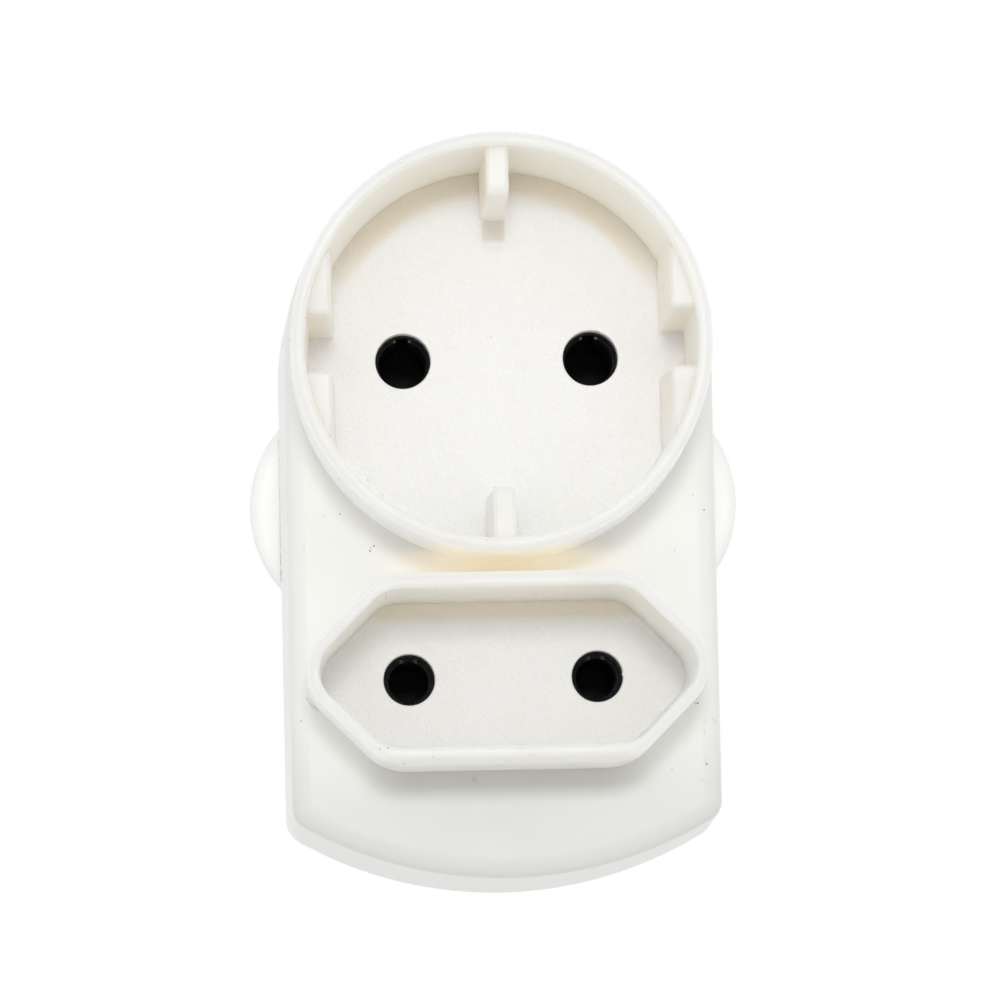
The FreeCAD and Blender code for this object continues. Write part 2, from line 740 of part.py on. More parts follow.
def make_contact_carrier():
    body = new_body("contact_carrier")
    block = new_sketch(body, "BlockOutline", carrier_rear_level)
    draw_rounded_rectangle(block, -s.carrier_half_width, s.carrier_half_width,
                           lower_y - s.carrier_margin, upper_y + s.carrier_margin,
                           s.carrier_corner_radius)
    add_pad(body, "Block", block, carrier_front_level - carrier_rear_level)

    bores = new_sketch(body, "BoreCircles", carrier_rear_level)
    for x in (-pin_x, pin_x):
        draw_circle(bores, x, upper_y, s.carrier_bore_radius)
        draw_circle(bores, x, lower_y, s.carrier_bore_radius)
    bore_depth = carrier_front_level - s.carrier_front_wall - carrier_rear_level
    add_pocket(body, "Bores", bores, bore_depth, True)

    holes = new_sketch(body, "HoleCircles", carrier_front_level)
    for x in (-pin_x, pin_x):
        draw_circle(holes, x, upper_y, s.carrier_upper_hole_radius)
        draw_circle(holes, x, lower_y, s.carrier_lower_hole_radius)
    add_pocket(body, "Holes", holes, s.carrier_front_wall)

    peg_holes = new_sketch(body, "PegHoleCircles", carrier_front_level)
    draw_circle(peg_holes, nought, upper_y, s.peg_radius + s.peg_clearance)
    draw_circle(peg_holes, nought, lower_y, s.peg_radius + s.peg_clearance)
    add_pocket(body, "PegHoles", peg_holes, s.peg_length)

    core = new_sketch(body, "CoreOutline", carrier_rear_level)
    core_top = upper_post_y - s.post_radius - s.carrier_gap
    core_bottom = lower_post_y + s.post_radius + s.carrier_gap
    draw_rounded_rectangle(core, -s.carrier_core_half_width, s.carrier_core_half_width,
                           core_bottom, core_top, s.foot_corner_radius)
    add_pocket(body, "Core", core, s.carrier_core_depth, True)

    def funnel_mouth(edge):
        upper = circle_at(edge, carrier_front_level, s.carrier_upper_hole_radius)
        return upper or circle_at(edge, carrier_front_level, s.carrier_lower_hole_radius)

    add_chamfer(body, "Funnels", s.carrier_funnel, funnel_mouth)
    return body


def make_insulating_sheet():
    body = new_body("insulating_sheet")
    outline = new_sketch(body, "SheetOutline", case_level)
    inset = s.shell_wall + s.lip_clearance + s.lip_thickness + s.sheet_clearance
    draw_case_outline(outline, inset, s.sheet_corner_radius)
    for x in (-pin_x, pin_x):
        draw_circle(outline, x, nought, s.tower_radius + s.sheet_clearance)
    for y in (upper_post_y, lower_post_y):
        draw_circle(outline, nought, y, s.post_radius + s.sheet_clearance)
    for y in (upper_screw_y, lower_screw_y):
        draw_circle(outline, nought, y, s.screw_hole_radius)
    add_pad(body, "Sheet", outline, s.sheet_thickness)
    return body


# Live parts of one pole, at x

def make_contact(label, x, y, bore_radius, rotation):
    """A rolled brass sleeve with a slit, and a foot that points to the plug pin."""
    body = new_body(label, x, y, rotation)
    outer_radius = bore_radius + s.contact_thickness
    tube = new_sketch(body, "SleeveCircles", strip_top_level)
    draw_circle(tube, nought, nought, outer_radius)
    draw_circle(tube, nought, nought, bore_radius)
    add_pad(body, "Sleeve", tube, sleeve_end_level - strip_top_level)

    slit = new_sketch(body, "SlitOutline", strip_top_level)
    half_slit = s.contact_slit.half()
    draw_rectangle(slit, -half_slit, half_slit, nought, outer_radius + s.contact_thickness)
    add_pocket(body, "Slit", slit, sleeve_end_level - strip_top_level, True)

    foot = new_sketch(body, "FootOutline", strip_top_level)
    foot_end = -s.rivet_offset - s.rivet_head_radius - s.carrier_clearance
    foot_top = -bore_radius - s.shank_clearance
    corners = [(-s.foot_half_width, foot_end), (s.foot_half_width, foot_end),
               (s.foot_half_width, foot_top), (-s.foot_half_width, foot_top)]
    sharp = s.shank_clearance
    round_end = s.foot_corner_radius
    draw_rounded_polygon(foot, corners, [round_end, round_end, sharp, sharp])
    add_pad(body, "Foot", foot, s.contact_thickness)

    hole = new_sketch(body, "RivetCircle", strip_top_level)
    draw_circle(hole, nought, -s.rivet_offset, s.rivet_shank_radius)
    add_pocket(body, "RivetHole", hole, s.contact_thickness, True)

    def sleeve_mouth(edge):
        return circle_at(edge, sleeve_end_level, bore_radius)

    add_chamfer(body, "Mouth", s.contact_mouth_flare, sleeve_mouth)
    return body


def make_clamp_spring(label, x, y, bore_radius, rotation):
    """A steel band round the sleeve, open over the sleeve's slit."""
    body = new_body(label, x, y, rotation)
    inner_radius = bore_radius + s.contact_thickness
    outer_radius = inner_radius + s.spring_thickness
    start = sleeve_end_level - s.spring_setback - s.spring_width
    band = new_sketch(body, "BandCircles", start)
    draw_circle(band, nought, nought, outer_radius)
    draw_circle(band, nought, nought, inner_radius)
    add_pad(body, "Band", band, s.spring_width)
    gap = new_sketch(body, "GapOutline", start)
    half_gap = s.spring_gap.half()
    draw_rectangle(gap, -half_gap, half_gap, nought, outer_radius + s.spring_thickness)
    add_pocket(body, "Gap", gap, s.spring_width, True)
    return body


def make_pole_strip(label, x):
    body = new_body(label, x)
    outline = new_sketch(body, "StripOutline", strip_level)
    draw_rounded_rectangle(outline, -s.strip_half_width, s.strip_half_width,
                           rivet_y["lower"] - s.strip_end, rivet_y["upper"] + s.strip_end,
                           s.strip_corner_radius)
    draw_circle(outline, nought, nought, s.plug_spigot_radius)
    draw_circle(outline, nought, rivet_y["upper"], s.rivet_shank_radius)
    draw_circle(outline, nought, rivet_y["lower"], s.rivet_shank_radius)
    add_pad(body, "Strip", outline, s.strip_thickness)
    return body


def make_rivet(label, x, y):
    body = new_body(label, x, y)
    add_turned(body, "Rivet", "Revolution", [
        (nought, strip_level - s.rivet_head_height),
        (s.rivet_head_radius, strip_level - s.rivet_head_height),
        (s.rivet_head_radius, strip_level),
        (s.rivet_shank_radius, strip_level),
        (s.rivet_shank_radius, foot_top_level),
        (s.rivet_head_radius, foot_top_level),
        (s.rivet_head_radius, foot_top_level + s.rivet_head_height),
        (nought, foot_top_level + s.rivet_head_height)])
    crown = s.rivet_head_height.half()

    def head_edge(edge):
        front = circle_at(edge, foot_top_level + s.rivet_head_height, s.rivet_head_radius)
        rear = circle_at(edge, strip_level - s.rivet_head_height, s.rivet_head_radius)
        return front or rear

    add_fillet(body, "Crowns", crown, head_edge)
    return body


def make_plug_pin(label, x):
    """Turned pin: a rounded free end, a shank in its tower, a collar and a peened end."""
    body = new_body(label, x)
    head_top = strip_top_level + s.peened_head_height
    add_turned(body, "Pin", "Revolution", [
        (nought, -s.plug_pin_reach),
        (s.plug_pin_radius, -s.plug_pin_reach),
        (s.plug_pin_radius, nought),
        (s.plug_shank_radius, nought),
        (s.plug_shank_radius, tower_level),
        (s.plug_collar_radius, tower_level),
        (s.plug_collar_radius, strip_level),
        (s.plug_spigot_radius, strip_level),
        (s.plug_spigot_radius, strip_top_level),
        (s.peened_head_radius, strip_top_level),
        (s.peened_head_radius, head_top),
        (nought, head_top)])
    add_fillet(body, "Tip", s.plug_pin_tip_round,
               lambda edge: circle_at(edge, -s.plug_pin_reach, s.plug_pin_radius))
    add_fillet(body, "PeenedEdge", s.peened_head_height.half(),
               lambda edge: circle_at(edge, head_top, s.peened_head_radius))
    return body


def make_screw(label, y):
    """A pan-head screw from behind, with a cross slot. Its thread isn't drawn."""
    body = new_body(label, nought, y)
    head_level = screw_seat_level - s.screw_head_height
    tip_level = screw_seat_level + s.screw_length
    cone = s.screw_shank_radius + s.screw_shank_radius
    add_turned(body, "Screw", "Revolution", [
        (nought, head_level),
        (s.screw_head_radius, head_level),
        (s.screw_head_radius, screw_seat_level),
        (s.screw_shank_radius, screw_seat_level),
        (s.screw_shank_radius, tip_level - cone),
        (nought, tip_level)])
    add_fillet(body, "HeadEdge", s.screw_head_round,
               lambda edge: circle_at(edge, head_level, s.screw_head_radius))
    slot = new_sketch(body, "SlotOutline", head_level)
    half_length = s.drive_slot_length.half()
    half_width = s.drive_slot_width.half()
    draw_rectangle(slot, -half_length, half_length, -half_width, half_width)
    pocket = add_pocket(body, "Slot", slot, s.drive_slot_depth, True)
    doc.recompute()
    cross = body.newObject("PartDesign::PolarPattern", "CrossSlot")
    cross.Originals = [pocket]
    cross.Axis = (slot, ["N_Axis"])
    cross.Angle = HALF_TURN
    cross.Occurrences = DRIVE_SLOTS
    body.Tip = cross
    return body


pieces = [make_front_housing(), make_rear_cover(), make_contact_carrier(), make_insulating_sheet()]
for hand, x in (("left", -pin_x), ("right", pin_x)):
    sockets = (("upper", upper_y, s.upper_bore_radius, FRONT_VIEW),
               ("lower", lower_y, s.lower_bore_radius, UPSIDE_DOWN))
    for place, y, bore_radius, rotation in sockets:
        name = f"{place}_{hand}"
        pieces.append(make_contact(name + "_contact", x, y, bore_radius, rotation))
        pieces.append(make_clamp_spring(name + "_clamp_spring", x, y, bore_radius, rotation))
        pieces.append(make_rivet(name + "_rivet", x, rivet_y[place]))
    pieces.append(make_pole_strip(hand + "_pole_strip", x))
    pieces.append(make_plug_pin(hand + "_plug_pin", x))
pieces.append(make_screw("upper_screw", upper_screw_y))
pieces.append(make_screw("lower_screw", lower_screw_y))
doc.recompute()


# Every feature has to be sound, and each cut has to take material away

CUTS = ("PartDesign::Pocket", "PartDesign::Groove")


def check_document():
    for item in doc.Objects:
        if "Invalid" in item.State or "Error" in item.State:
            raise RuntimeError(f"{item.Name} failed: {item.State}")
        if item.TypeId in CUTS and item.Shape.Volume >= item.BaseFeature.Shape.Volume:
            raise RuntimeError(f"{item.Name} cuts nothing")
    for piece in pieces:
        shape = piece.Shape
        if shape.isNull() or not shape.isValid() or len(shape.Solids) != 1:
            raise RuntimeError(f"{piece.Label} isn't one valid solid")


check_document()
os.makedirs("parts", exist_ok=True)
for piece in pieces:
    piece.Shape.exportStep(f"parts/{piece.Label}.step")
print(len(pieces), "pieces written")
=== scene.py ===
"""Two-way plug adapter: its finish, fine moulded shapes, wear, light and camera."""
import json
import math

import bpy
from mathutils import Matrix, Vector
from mathutils.bvhtree import BVHTree


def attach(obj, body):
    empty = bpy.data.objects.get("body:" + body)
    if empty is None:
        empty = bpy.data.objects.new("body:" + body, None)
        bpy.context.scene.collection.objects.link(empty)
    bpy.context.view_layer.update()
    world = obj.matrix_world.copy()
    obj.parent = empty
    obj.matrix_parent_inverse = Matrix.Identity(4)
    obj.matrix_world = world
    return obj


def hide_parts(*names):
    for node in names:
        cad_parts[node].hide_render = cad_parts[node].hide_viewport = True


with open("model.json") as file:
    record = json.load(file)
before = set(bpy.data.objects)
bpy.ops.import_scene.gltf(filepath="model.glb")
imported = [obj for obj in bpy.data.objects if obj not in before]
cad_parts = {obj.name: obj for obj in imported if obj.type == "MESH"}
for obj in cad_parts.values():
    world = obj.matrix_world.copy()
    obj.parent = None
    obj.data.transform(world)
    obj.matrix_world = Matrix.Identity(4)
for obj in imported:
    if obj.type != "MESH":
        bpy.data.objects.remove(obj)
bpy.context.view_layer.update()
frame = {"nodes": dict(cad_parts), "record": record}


def plain(bounds):
    """The object's box as plain lists of numbers."""
    return [[float(number) for number in corner] for corner in bounds]


MM = 0.001

# Heights in mm from the plug face towards the person who faces the sockets
FLANGE_BACK = 17.0
SEAM = 20.0
FACE = 45.3
RIM = 57.6
FLOOR = 40.1
FLOOR_BACK = 38.5
FACE_BACK = 43.5

# Sizes in mm across the front, with the sockets' centres above and below the plug
PIN_X = 9.5
ROUND_Y = 13.0
FLAT_Y = -19.3
CASE_HALF_WIDTH = 22.2
CASE_CORNER = 2.9
LEAST_CORNER = 0.4
CASE_BOTTOM = -40.25
CASE_BOTTOM_RADIUS = 41.5
CASE_DRAFT = math.tan(math.radians(1.6))
SHELL_WALL = 1.8
FACE_EDGE_ROUND = 2.0
SEAM_ROUND = 0.2
COLLAR_BASE_RADIUS = 20.95
COLLAR_RIM_RADIUS = 20.85
RECESS_MOUTH_RADIUS = 19.5
RECESS_FLOOR_RADIUS = 19.1
RIM_OUTER_ROUND = 0.8
RIM_INNER_ROUND = 0.5
HEX_HALF_HEIGHT = 9.6
HEX_HALF_LENGTH = 12.35
HEX_SHOULDER_ROUND = 5.8
HEX_POINT_ROUND = 4.8
HEX_TALLER = 0.1
HEX_WALL_ABOVE = 1.7
HEX_WALL_BELOW = 1.9
HEX_WALL_AT_POINT = 1.86
HEX_RIM_ROUND = 1.1
HEX_DRAFT = math.tan(math.radians(0.45))
HEX_RECESS_DRAFT = math.tan(math.radians(1.0))
LEDGE_X = 16.45
LEDGE_END_ABOVE = 2.45
LEDGE_END_BELOW = 1.95
LEDGE_END_DRAFT = math.tan(math.radians(2.6))
LEDGE_TOP = RIM - 1.0
LEDGE_DRAFT = math.tan(math.radians(1.4))
TAB_HALF_WIDTH = 1.35
TAB_REACH = 14.1
LOWER_TAB_LONGER = 0.35
TAB_TOP = RIM - 0.9
TAB_DRAFT = math.tan(math.radians(0.8))
TAB_END_DRAFT = math.tan(math.radians(2.0))
TAB_END_ROUND = 0.95
TAB_CORNER = 0.55
TAB_SHIFT = -0.08
WALL_ROOT = 19.9
SMALL_ROUND = 0.42
UPPER_HOLE = 2.8
LOWER_HOLE = 2.6
HOLE_ROUND = 0.18
SCREW_Y = (27.0, -32.05)
SCREW_BOSS = 3.2
SCREW_SHANK = 1.25
SCREW_PILOT_END = 31.8
SCREW_SEAT_RADIUS = 3.1
SCREW_SEAT = 18.6
SHEET_FRONT = 20.8
CONTACT_MOUTH = 36.5
UPPER_BORE = 2.45
LOWER_BORE = 2.05
GRIP_RADIUS = 12.8
GRIP_X = 12.55
GRIP_ROUND = 1.3
GRIP_SETBACK = 0.01
FLANGE_ROUND = 0.6
BOSS_RADIUS = 18.5
BOSS_FLAT = 16.4
BOSS_ROUND = 0.8
RIB_HALF_WIDTH = 2.7
NOTCH_HALF_WIDTH = 3.3
NOTCH_FLOOR = 15.3

# How far a cut goes past what it opens
BEYOND = 1.0
HOLE_BEYOND = 0.5
NOTCH_BEYOND = 0.3

# How far a joined solid reaches into what carries it
BURIED = 0.8
PLUG_BOSS_BURIED = 1.0
SCREW_BOSS_FRONT = FACE - 1.2

# Flat steps round a quarter of an edge, and round a full circle
ROUND_STEPS = 10
TAB_STEPS = 8
LEDGE_STEPS = 6
HOLE_STEPS = 5
SEAM_STEPS = 4
CIRCLE_STEPS = 216
SHARP_ANGLE = math.radians(32.0)


# Shapes: outlines in the front view, stacked from back to front into closed solids

def world_point(x, y, z):
    """A place in the front view, in mm, as a point of the frame."""
    return (x * MM, -z * MM, y * MM)


def link(mesh, name):
    """A new object in the scene that holds the mesh."""
    thing = bpy.data.objects.new(name, mesh)
    bpy.context.scene.collection.objects.link(thing)
    return thing


def stacked(layers):
    """A closed solid through matching outlines, given as (points, height) from the back."""
    count = len(layers[0][0])
    points = [world_point(x, y, z) for outline, z in layers for x, y in outline]
    faces = [tuple(range(count))[::-1], tuple(range(len(points) - count, len(points)))]
    for level in range(len(layers) - 1):
        low = level * count
        high = low + count
        for i in range(count):
            j = (i + 1) % count
            faces.append((low + i, low + j, high + j, high + i))
    mesh = bpy.data.meshes.new("solid")
    mesh.from_pydata(points, [], faces)
    return link(mesh, "solid")


def arc(centre_x, centre_y, radius, start, end, steps):
    """Points on an arc, with both ends."""
    turns = [start + (end - start) * i / steps for i in range(steps + 1)]
    return [(centre_x + radius * math.cos(a), centre_y + radius * math.sin(a)) for a in turns]


def circle(radius, x=0.0, y=0.0, steps=CIRCLE_STEPS):
    """A full circle's points, without the last one, which would repeat the first."""
    return arc(x, y, radius, 0.0, 2 * math.pi, steps)[:-1]


def case_outline(inset):
    """Round top, straight sides and a bowed bottom, moved inwards by the inset."""
    half = CASE_HALF_WIDTH - inset
    corner = max(CASE_CORNER - inset, LEAST_CORNER)
    bow = CASE_BOTTOM_RADIUS - inset
    bow_y = CASE_BOTTOM + CASE_BOTTOM_RADIUS
    corner_x = half - corner
    corner_y = bow_y - math.sqrt((bow - corner) ** 2 - corner_x ** 2)
    down = math.atan2(corner_y - bow_y, corner_x)
    points = arc(0.0, ROUND_Y, half, 0.0, math.pi, 120)
    points += arc(-corner_x, corner_y, corner, math.pi, math.pi - down, 12)
    points += arc(0.0, bow_y, bow, -math.pi - down, down, 60)[1:-1]
    points += arc(corner_x, corner_y, corner, down, 0.0, 12)
    return points


def rounded_corners(corners, radii, steps=16):
    """A convex outline, corners anticlockwise, each with its own radius."""
    points = []
    count = len(corners)
    for i, (corner, radius) in enumerate(zip(corners, radii)):
        here = Vector(corner)
        before = (Vector(corners[i - 1]) - here).normalized()
        after = (Vector(corners[(i + 1) % count]) - here).normalized()
        half_angle = before.angle(after) / 2
        middle = (before + after).normalized()
        centre = here + middle * (radius / math.sin(half_angle))
        first = math.atan2(*(-(centre - here - before * (radius / math.tan(half_angle)))).yx)
        sweep = math.pi - 2 * half_angle
        points += arc(centre.x, centre.y, radius, first, first + sweep, steps)
    return points


def hex_outline(above, below, slant_inset):
    """The flat socket's outline with 45 degree slants, moved inwards above, below and
    along the slants."""
    top = FLAT_Y + HEX_HALF_HEIGHT + HEX_TALLER - above
    bottom = FLAT_Y - HEX_HALF_HEIGHT + below
    tip = HEX_HALF_LENGTH + HEX_HALF_HEIGHT - slant_inset * math.sqrt(2)
    upper = tip - (top - FLAT_Y)
    lower = tip - (FLAT_Y - bottom)
    corners = [(-lower, bottom), (lower, bottom), (tip, FLAT_Y),
               (upper, top), (-upper, top), (-tip, FLAT_Y)]
    lower_round = HEX_SHOULDER_ROUND - below
    upper_round = HEX_SHOULDER_ROUND - above
    tip_round = HEX_POINT_ROUND - slant_inset
    return rounded_corners(corners, [lower_round, lower_round, tip_round,
                                     upper_round, upper_round, tip_round])


def rounding(radius, steps=ROUND_STEPS):
    """Pairs of inset and drop below the top, from the side up to the face."""
    turns = [math.pi / 2 * i / steps for i in range(steps + 1)]
    return [(radius * (1 - math.cos(a)), radius * (1 - math.sin(a))) for a in turns]


def combined(base, operation, tools):
    """The base with the tools joined to it or cut from it, as one plain mesh."""
    for tool in tools:
        step = base.modifiers.new("step", "BOOLEAN")
        step.operation = operation
        step.solver = "EXACT"
        step.object = tool
        graph = bpy.context.evaluated_depsgraph_get()
        mesh = bpy.data.meshes.new_from_object(base.evaluated_get(graph))
        base.modifiers.remove(step)
        old = base.data
        base.data = mesh
        bpy.data.meshes.remove(old)
        bpy.data.meshes.remove(tool.data)
    return base


def collar_radius(z):
    """The round collar's outside, which tapers from the face to the rim."""
    rise = max(z - FACE, 0.0) / (RIM - FACE)
    return COLLAR_BASE_RADIUS + (COLLAR_RIM_RADIUS - COLLAR_BASE_RADIUS) * rise


def round_collar():
    """The round collar, filled, with its outer rim rounded."""
    layers = [(collar_radius(z), z) for z in (FLOOR_BACK, FACE)]
    for inset, drop in rounding(RIM_OUTER_ROUND):
        layers.append((collar_radius(RIM - drop) - inset, RIM - drop))
    return stacked([(circle(radius, y=ROUND_Y), z) for radius, z in layers])


def hex_collar():
    """The hexagonal collar, filled, with its outer rim rounded."""
    layers = [(0.0, FLOOR_BACK)]
    for inset, drop in rounding(HEX_RIM_ROUND):
        layers.append(((RIM - drop - FLOOR_BACK) * HEX_DRAFT + inset, RIM - drop))
    return stacked([(hex_outline(inset, inset, inset), z) for inset, z in layers])


def round_recess():
    """What the round plug fills: a tapered well whose mouth flares over the rim."""
    def wall(z):
        rise = (z - FLOOR) / (RIM - FLOOR)
        return RECESS_FLOOR_RADIUS + (RECESS_MOUTH_RADIUS - RECESS_FLOOR_RADIUS) * rise

    layers = [(wall(FLOOR), FLOOR)]
    for inset, drop in rounding(RIM_INNER_ROUND):
        layers.append((wall(RIM - drop) + inset, RIM - drop))
    layers.append((layers[-1][0], RIM + BEYOND))
    return stacked([(circle(radius, y=ROUND_Y), z) for radius, z in layers])


def hex_recess():
    """What the flat plug fills, with the mouth flared over the rim."""
    layers = [((RIM - FLOOR) * HEX_RECESS_DRAFT, FLOOR)]
    for inset, drop in rounding(RIM_INNER_ROUND):
        layers.append((drop * HEX_RECESS_DRAFT - inset, RIM - drop))
    layers.append((layers[-1][0], RIM + BEYOND))
    slant_wall = HEX_WALL_AT_POINT / math.sqrt(2)
    return stacked([(hex_outline(HEX_WALL_ABOVE + inset, HEX_WALL_BELOW + inset,
                                 slant_wall + inset), z) for inset, z in layers])


def pin_hole(x, y, radius):
    """A hole through a socket's floor with its front edge rounded."""
    layers = [(radius, FLOOR_BACK - HOLE_BEYOND)]
    for inset, drop in rounding(HOLE_ROUND, HOLE_STEPS):
        layers.append((radius + inset, FLOOR - drop))
    layers.append((layers[-1][0], FLOOR + BEYOND))
    return stacked([(circle(r, x, y, 72), z) for r, z in layers])


def ledge_outline(inset, end, side, up):
    """One guide ledge: a flat side, a flat end at the gap, and an arc inside the wall."""
    edge = LEDGE_X + inset
    reach = math.sqrt(WALL_ROOT ** 2 - edge ** 2)
    corner = SMALL_ROUND
    points = arc(edge + corner, end + corner, corner, math.pi * 1.5, math.pi, 6)
    points += arc(0.0, 0.0, WALL_ROOT, math.atan2(reach, edge),
                  math.asin(end / WALL_ROOT), 40)
    points = [(side * x, ROUND_Y + up * y) for x, y in points]
    return points[::-1] if side * up > 0 else points


def guide_ledge(side, up):
    """A ledge beside the gap. Its end leans further back than its side."""
    end = LEDGE_END_ABOVE if up > 0 else LEDGE_END_BELOW
    layers = [(0.0, end, FLOOR - BURIED)]
    for inset, drop in rounding(SMALL_ROUND, LEDGE_STEPS):
        z = LEDGE_TOP - drop
        rise = z - FLOOR
        layers.append((rise * LEDGE_DRAFT + inset, end + rise * LEDGE_END_DRAFT + inset, z))
    return stacked([(ledge_outline(inset, reach, side, up), z) for inset, reach, z in layers])


def tab_outline(inset, end_inset, up):
    """A tab's section: round corners at its free end, square ones inside the wall."""
    half = TAB_HALF_WIDTH - inset
    free = TAB_REACH + end_inset - (0.0 if up > 0 else LOWER_TAB_LONGER)
    corner = TAB_CORNER
    points = arc(half - corner, free + corner, corner, 0.0, -math.pi / 2, 8)
    points += arc(corner - half, free + corner, corner, -math.pi / 2, -math.pi, 8)
    points += [(-half, WALL_ROOT), (half, WALL_ROOT)]
    shift = TAB_SHIFT if up > 0 else 0.0
    points = [(x + shift, ROUND_Y + up * y) for x, y in points]
    return points[::-1] if up > 0 else points


def tab(up):
    """A plain tab in place of an earth contact. Its free end is rounder than its sides."""
    layers = [(0.0, 0.0, FLOOR - BURIED)]
    for (inset, drop), (end_inset, end_drop) in zip(rounding(SMALL_ROUND, TAB_STEPS),
                                                    rounding(TAB_END_ROUND, TAB_STEPS)):
        z = TAB_TOP - (drop + end_drop) / 2
        rise = z - FLOOR
        layers.append((rise * TAB_DRAFT + inset, rise * TAB_END_DRAFT + end_inset, z))
    return stacked([(tab_outline(inset, end, up), z) for inset, end, z in layers])


def case_shell():
    """The case's front with its drafted sides, rounded face edge and hollow inside."""
    layers = [(inset, SEAM + drop) for inset, drop in rounding(SEAM_ROUND, SEAM_STEPS)][::-1]
    for inset, drop in rounding(FACE_EDGE_ROUND):
        z = FACE - drop
        layers.append(((z - SEAM) * CASE_DRAFT + inset, z))
    outside = stacked([(case_outline(inset), z) for inset, z in layers])
    hollow = stacked([
        (case_outline(SHELL_WALL + (z - SEAM) * CASE_DRAFT), z)
        for z in (SEAM - BEYOND, FACE_BACK)])
    return combined(outside, "DIFFERENCE", [hollow])


def smooth(thing):
    """Rounded parts shade smoothly, and flat ones stay flat beside them."""
    mesh = thing.data
    mesh.polygons.foreach_set("use_smooth", [True] * len(mesh.polygons))
    mesh.set_sharp_from_angle(angle=SHARP_ANGLE)
    weighting = thing.modifiers.new("even_shading", "WEIGHTED_NORMAL")
    weighting.keep_sharp = True
    weighting.weight = 90


def make_front_housing():
    """The housing with its collars, recesses, ledges, tabs and holes."""
    housing = case_shell()
    bosses = [stacked([(circle(SCREW_BOSS, y=y, steps=48), z)
                       for z in (SHEET_FRONT, SCREW_BOSS_FRONT)]) for y in SCREW_Y]
    combined(housing, "UNION", [round_collar(), hex_collar()] + bosses)
    combined(housing, "DIFFERENCE", [round_recess(), hex_recess()])
    inside = [guide_ledge(side, up) for side in (-1, 1) for up in (-1, 1)]
    inside += [tab(up) for up in (-1, 1)]
    combined(housing, "UNION", inside)
    holes = [pin_hole(x, y, radius) for x in (-PIN_X, PIN_X)
             for y, radius in ((ROUND_Y, UPPER_HOLE), (FLAT_Y, LOWER_HOLE))]
    for y in SCREW_Y:
        holes.append(stacked([(circle(SCREW_SHANK, y=y, steps=32), z)
                              for z in (SHEET_FRONT - BEYOND, SCREW_PILOT_END)]))
    combined(housing, "DIFFERENCE", holes)
    housing.name = housing.data.name = "moulded_front_housing"
    smooth(housing)
    return housing


def rounded_at_back(radius, back):
    """Pairs of inset and height that round a solid's back edge."""
    return [(inset, back + drop) for inset, drop in rounding(radius)][::-1]


def rounded_at_front(radius, front, steps=ROUND_STEPS):
    """Pairs of inset and height that round a solid's front edge."""
    return [(inset, front - drop) for inset, drop in rounding(radius, steps)]


def block(left, right, bottom, top, back, front):
    """A box, given by its six sides."""
    outline = [(left, bottom), (right, bottom), (right, top), (left, top)]
    return stacked([(outline, back), (outline, front)])


def plug_boss():
    """The round boss with side flats beside a guide rib, and notches above and below."""
    layers = rounded_at_back(BOSS_ROUND, 0.0) + [(0.0, FLANGE_BACK + PLUG_BOSS_BURIED)]
    boss = stacked([(circle(BOSS_RADIUS - inset), z) for inset, z in layers])
    far = BOSS_RADIUS + BEYOND
    notch = NOTCH_HALF_WIDTH
    openings = []
    for start, end in ((BOSS_FLAT, far), (-far, -BOSS_FLAT)):
        openings += [(start, end, RIB_HALF_WIDTH, far), (start, end, -far, -RIB_HALF_WIDTH)]
    openings += [(-notch, notch, NOTCH_FLOOR, far), (-notch, notch, -far, -NOTCH_FLOOR)]
    cuts = [block(*sides, -BEYOND, FLANGE_BACK + NOTCH_BEYOND) for sides in openings]
    return combined(boss, "DIFFERENCE", cuts)


def make_rear_cover():
    """The flange with its finger grips, the plug boss and the screws' seats."""
    layers = rounded_at_back(FLANGE_ROUND, FLANGE_BACK)
    layers += rounded_at_front(SEAM_ROUND, SEAM, SEAM_STEPS)
    cover = stacked([(case_outline(inset), z) for inset, z in layers])
    grip_layers = (rounded_at_back(GRIP_ROUND, FLANGE_BACK + GRIP_SETBACK)
                   + rounded_at_front(GRIP_ROUND, SEAM - GRIP_SETBACK))
    grips = [stacked([(circle(GRIP_RADIUS - inset, x), z) for inset, z in grip_layers])
             for x in (-GRIP_X, GRIP_X)]
    combined(cover, "UNION", grips + [plug_boss()])
    seats = [stacked([(circle(SCREW_SEAT_RADIUS, y=y, steps=64), z)
                      for z in (FLANGE_BACK - BEYOND, SCREW_SEAT)]) for y in SCREW_Y]
    combined(cover, "DIFFERENCE", seats)
    cover.name = cover.data.name = "moulded_rear_cover"
    smooth(cover)
    return cover


# Finishes

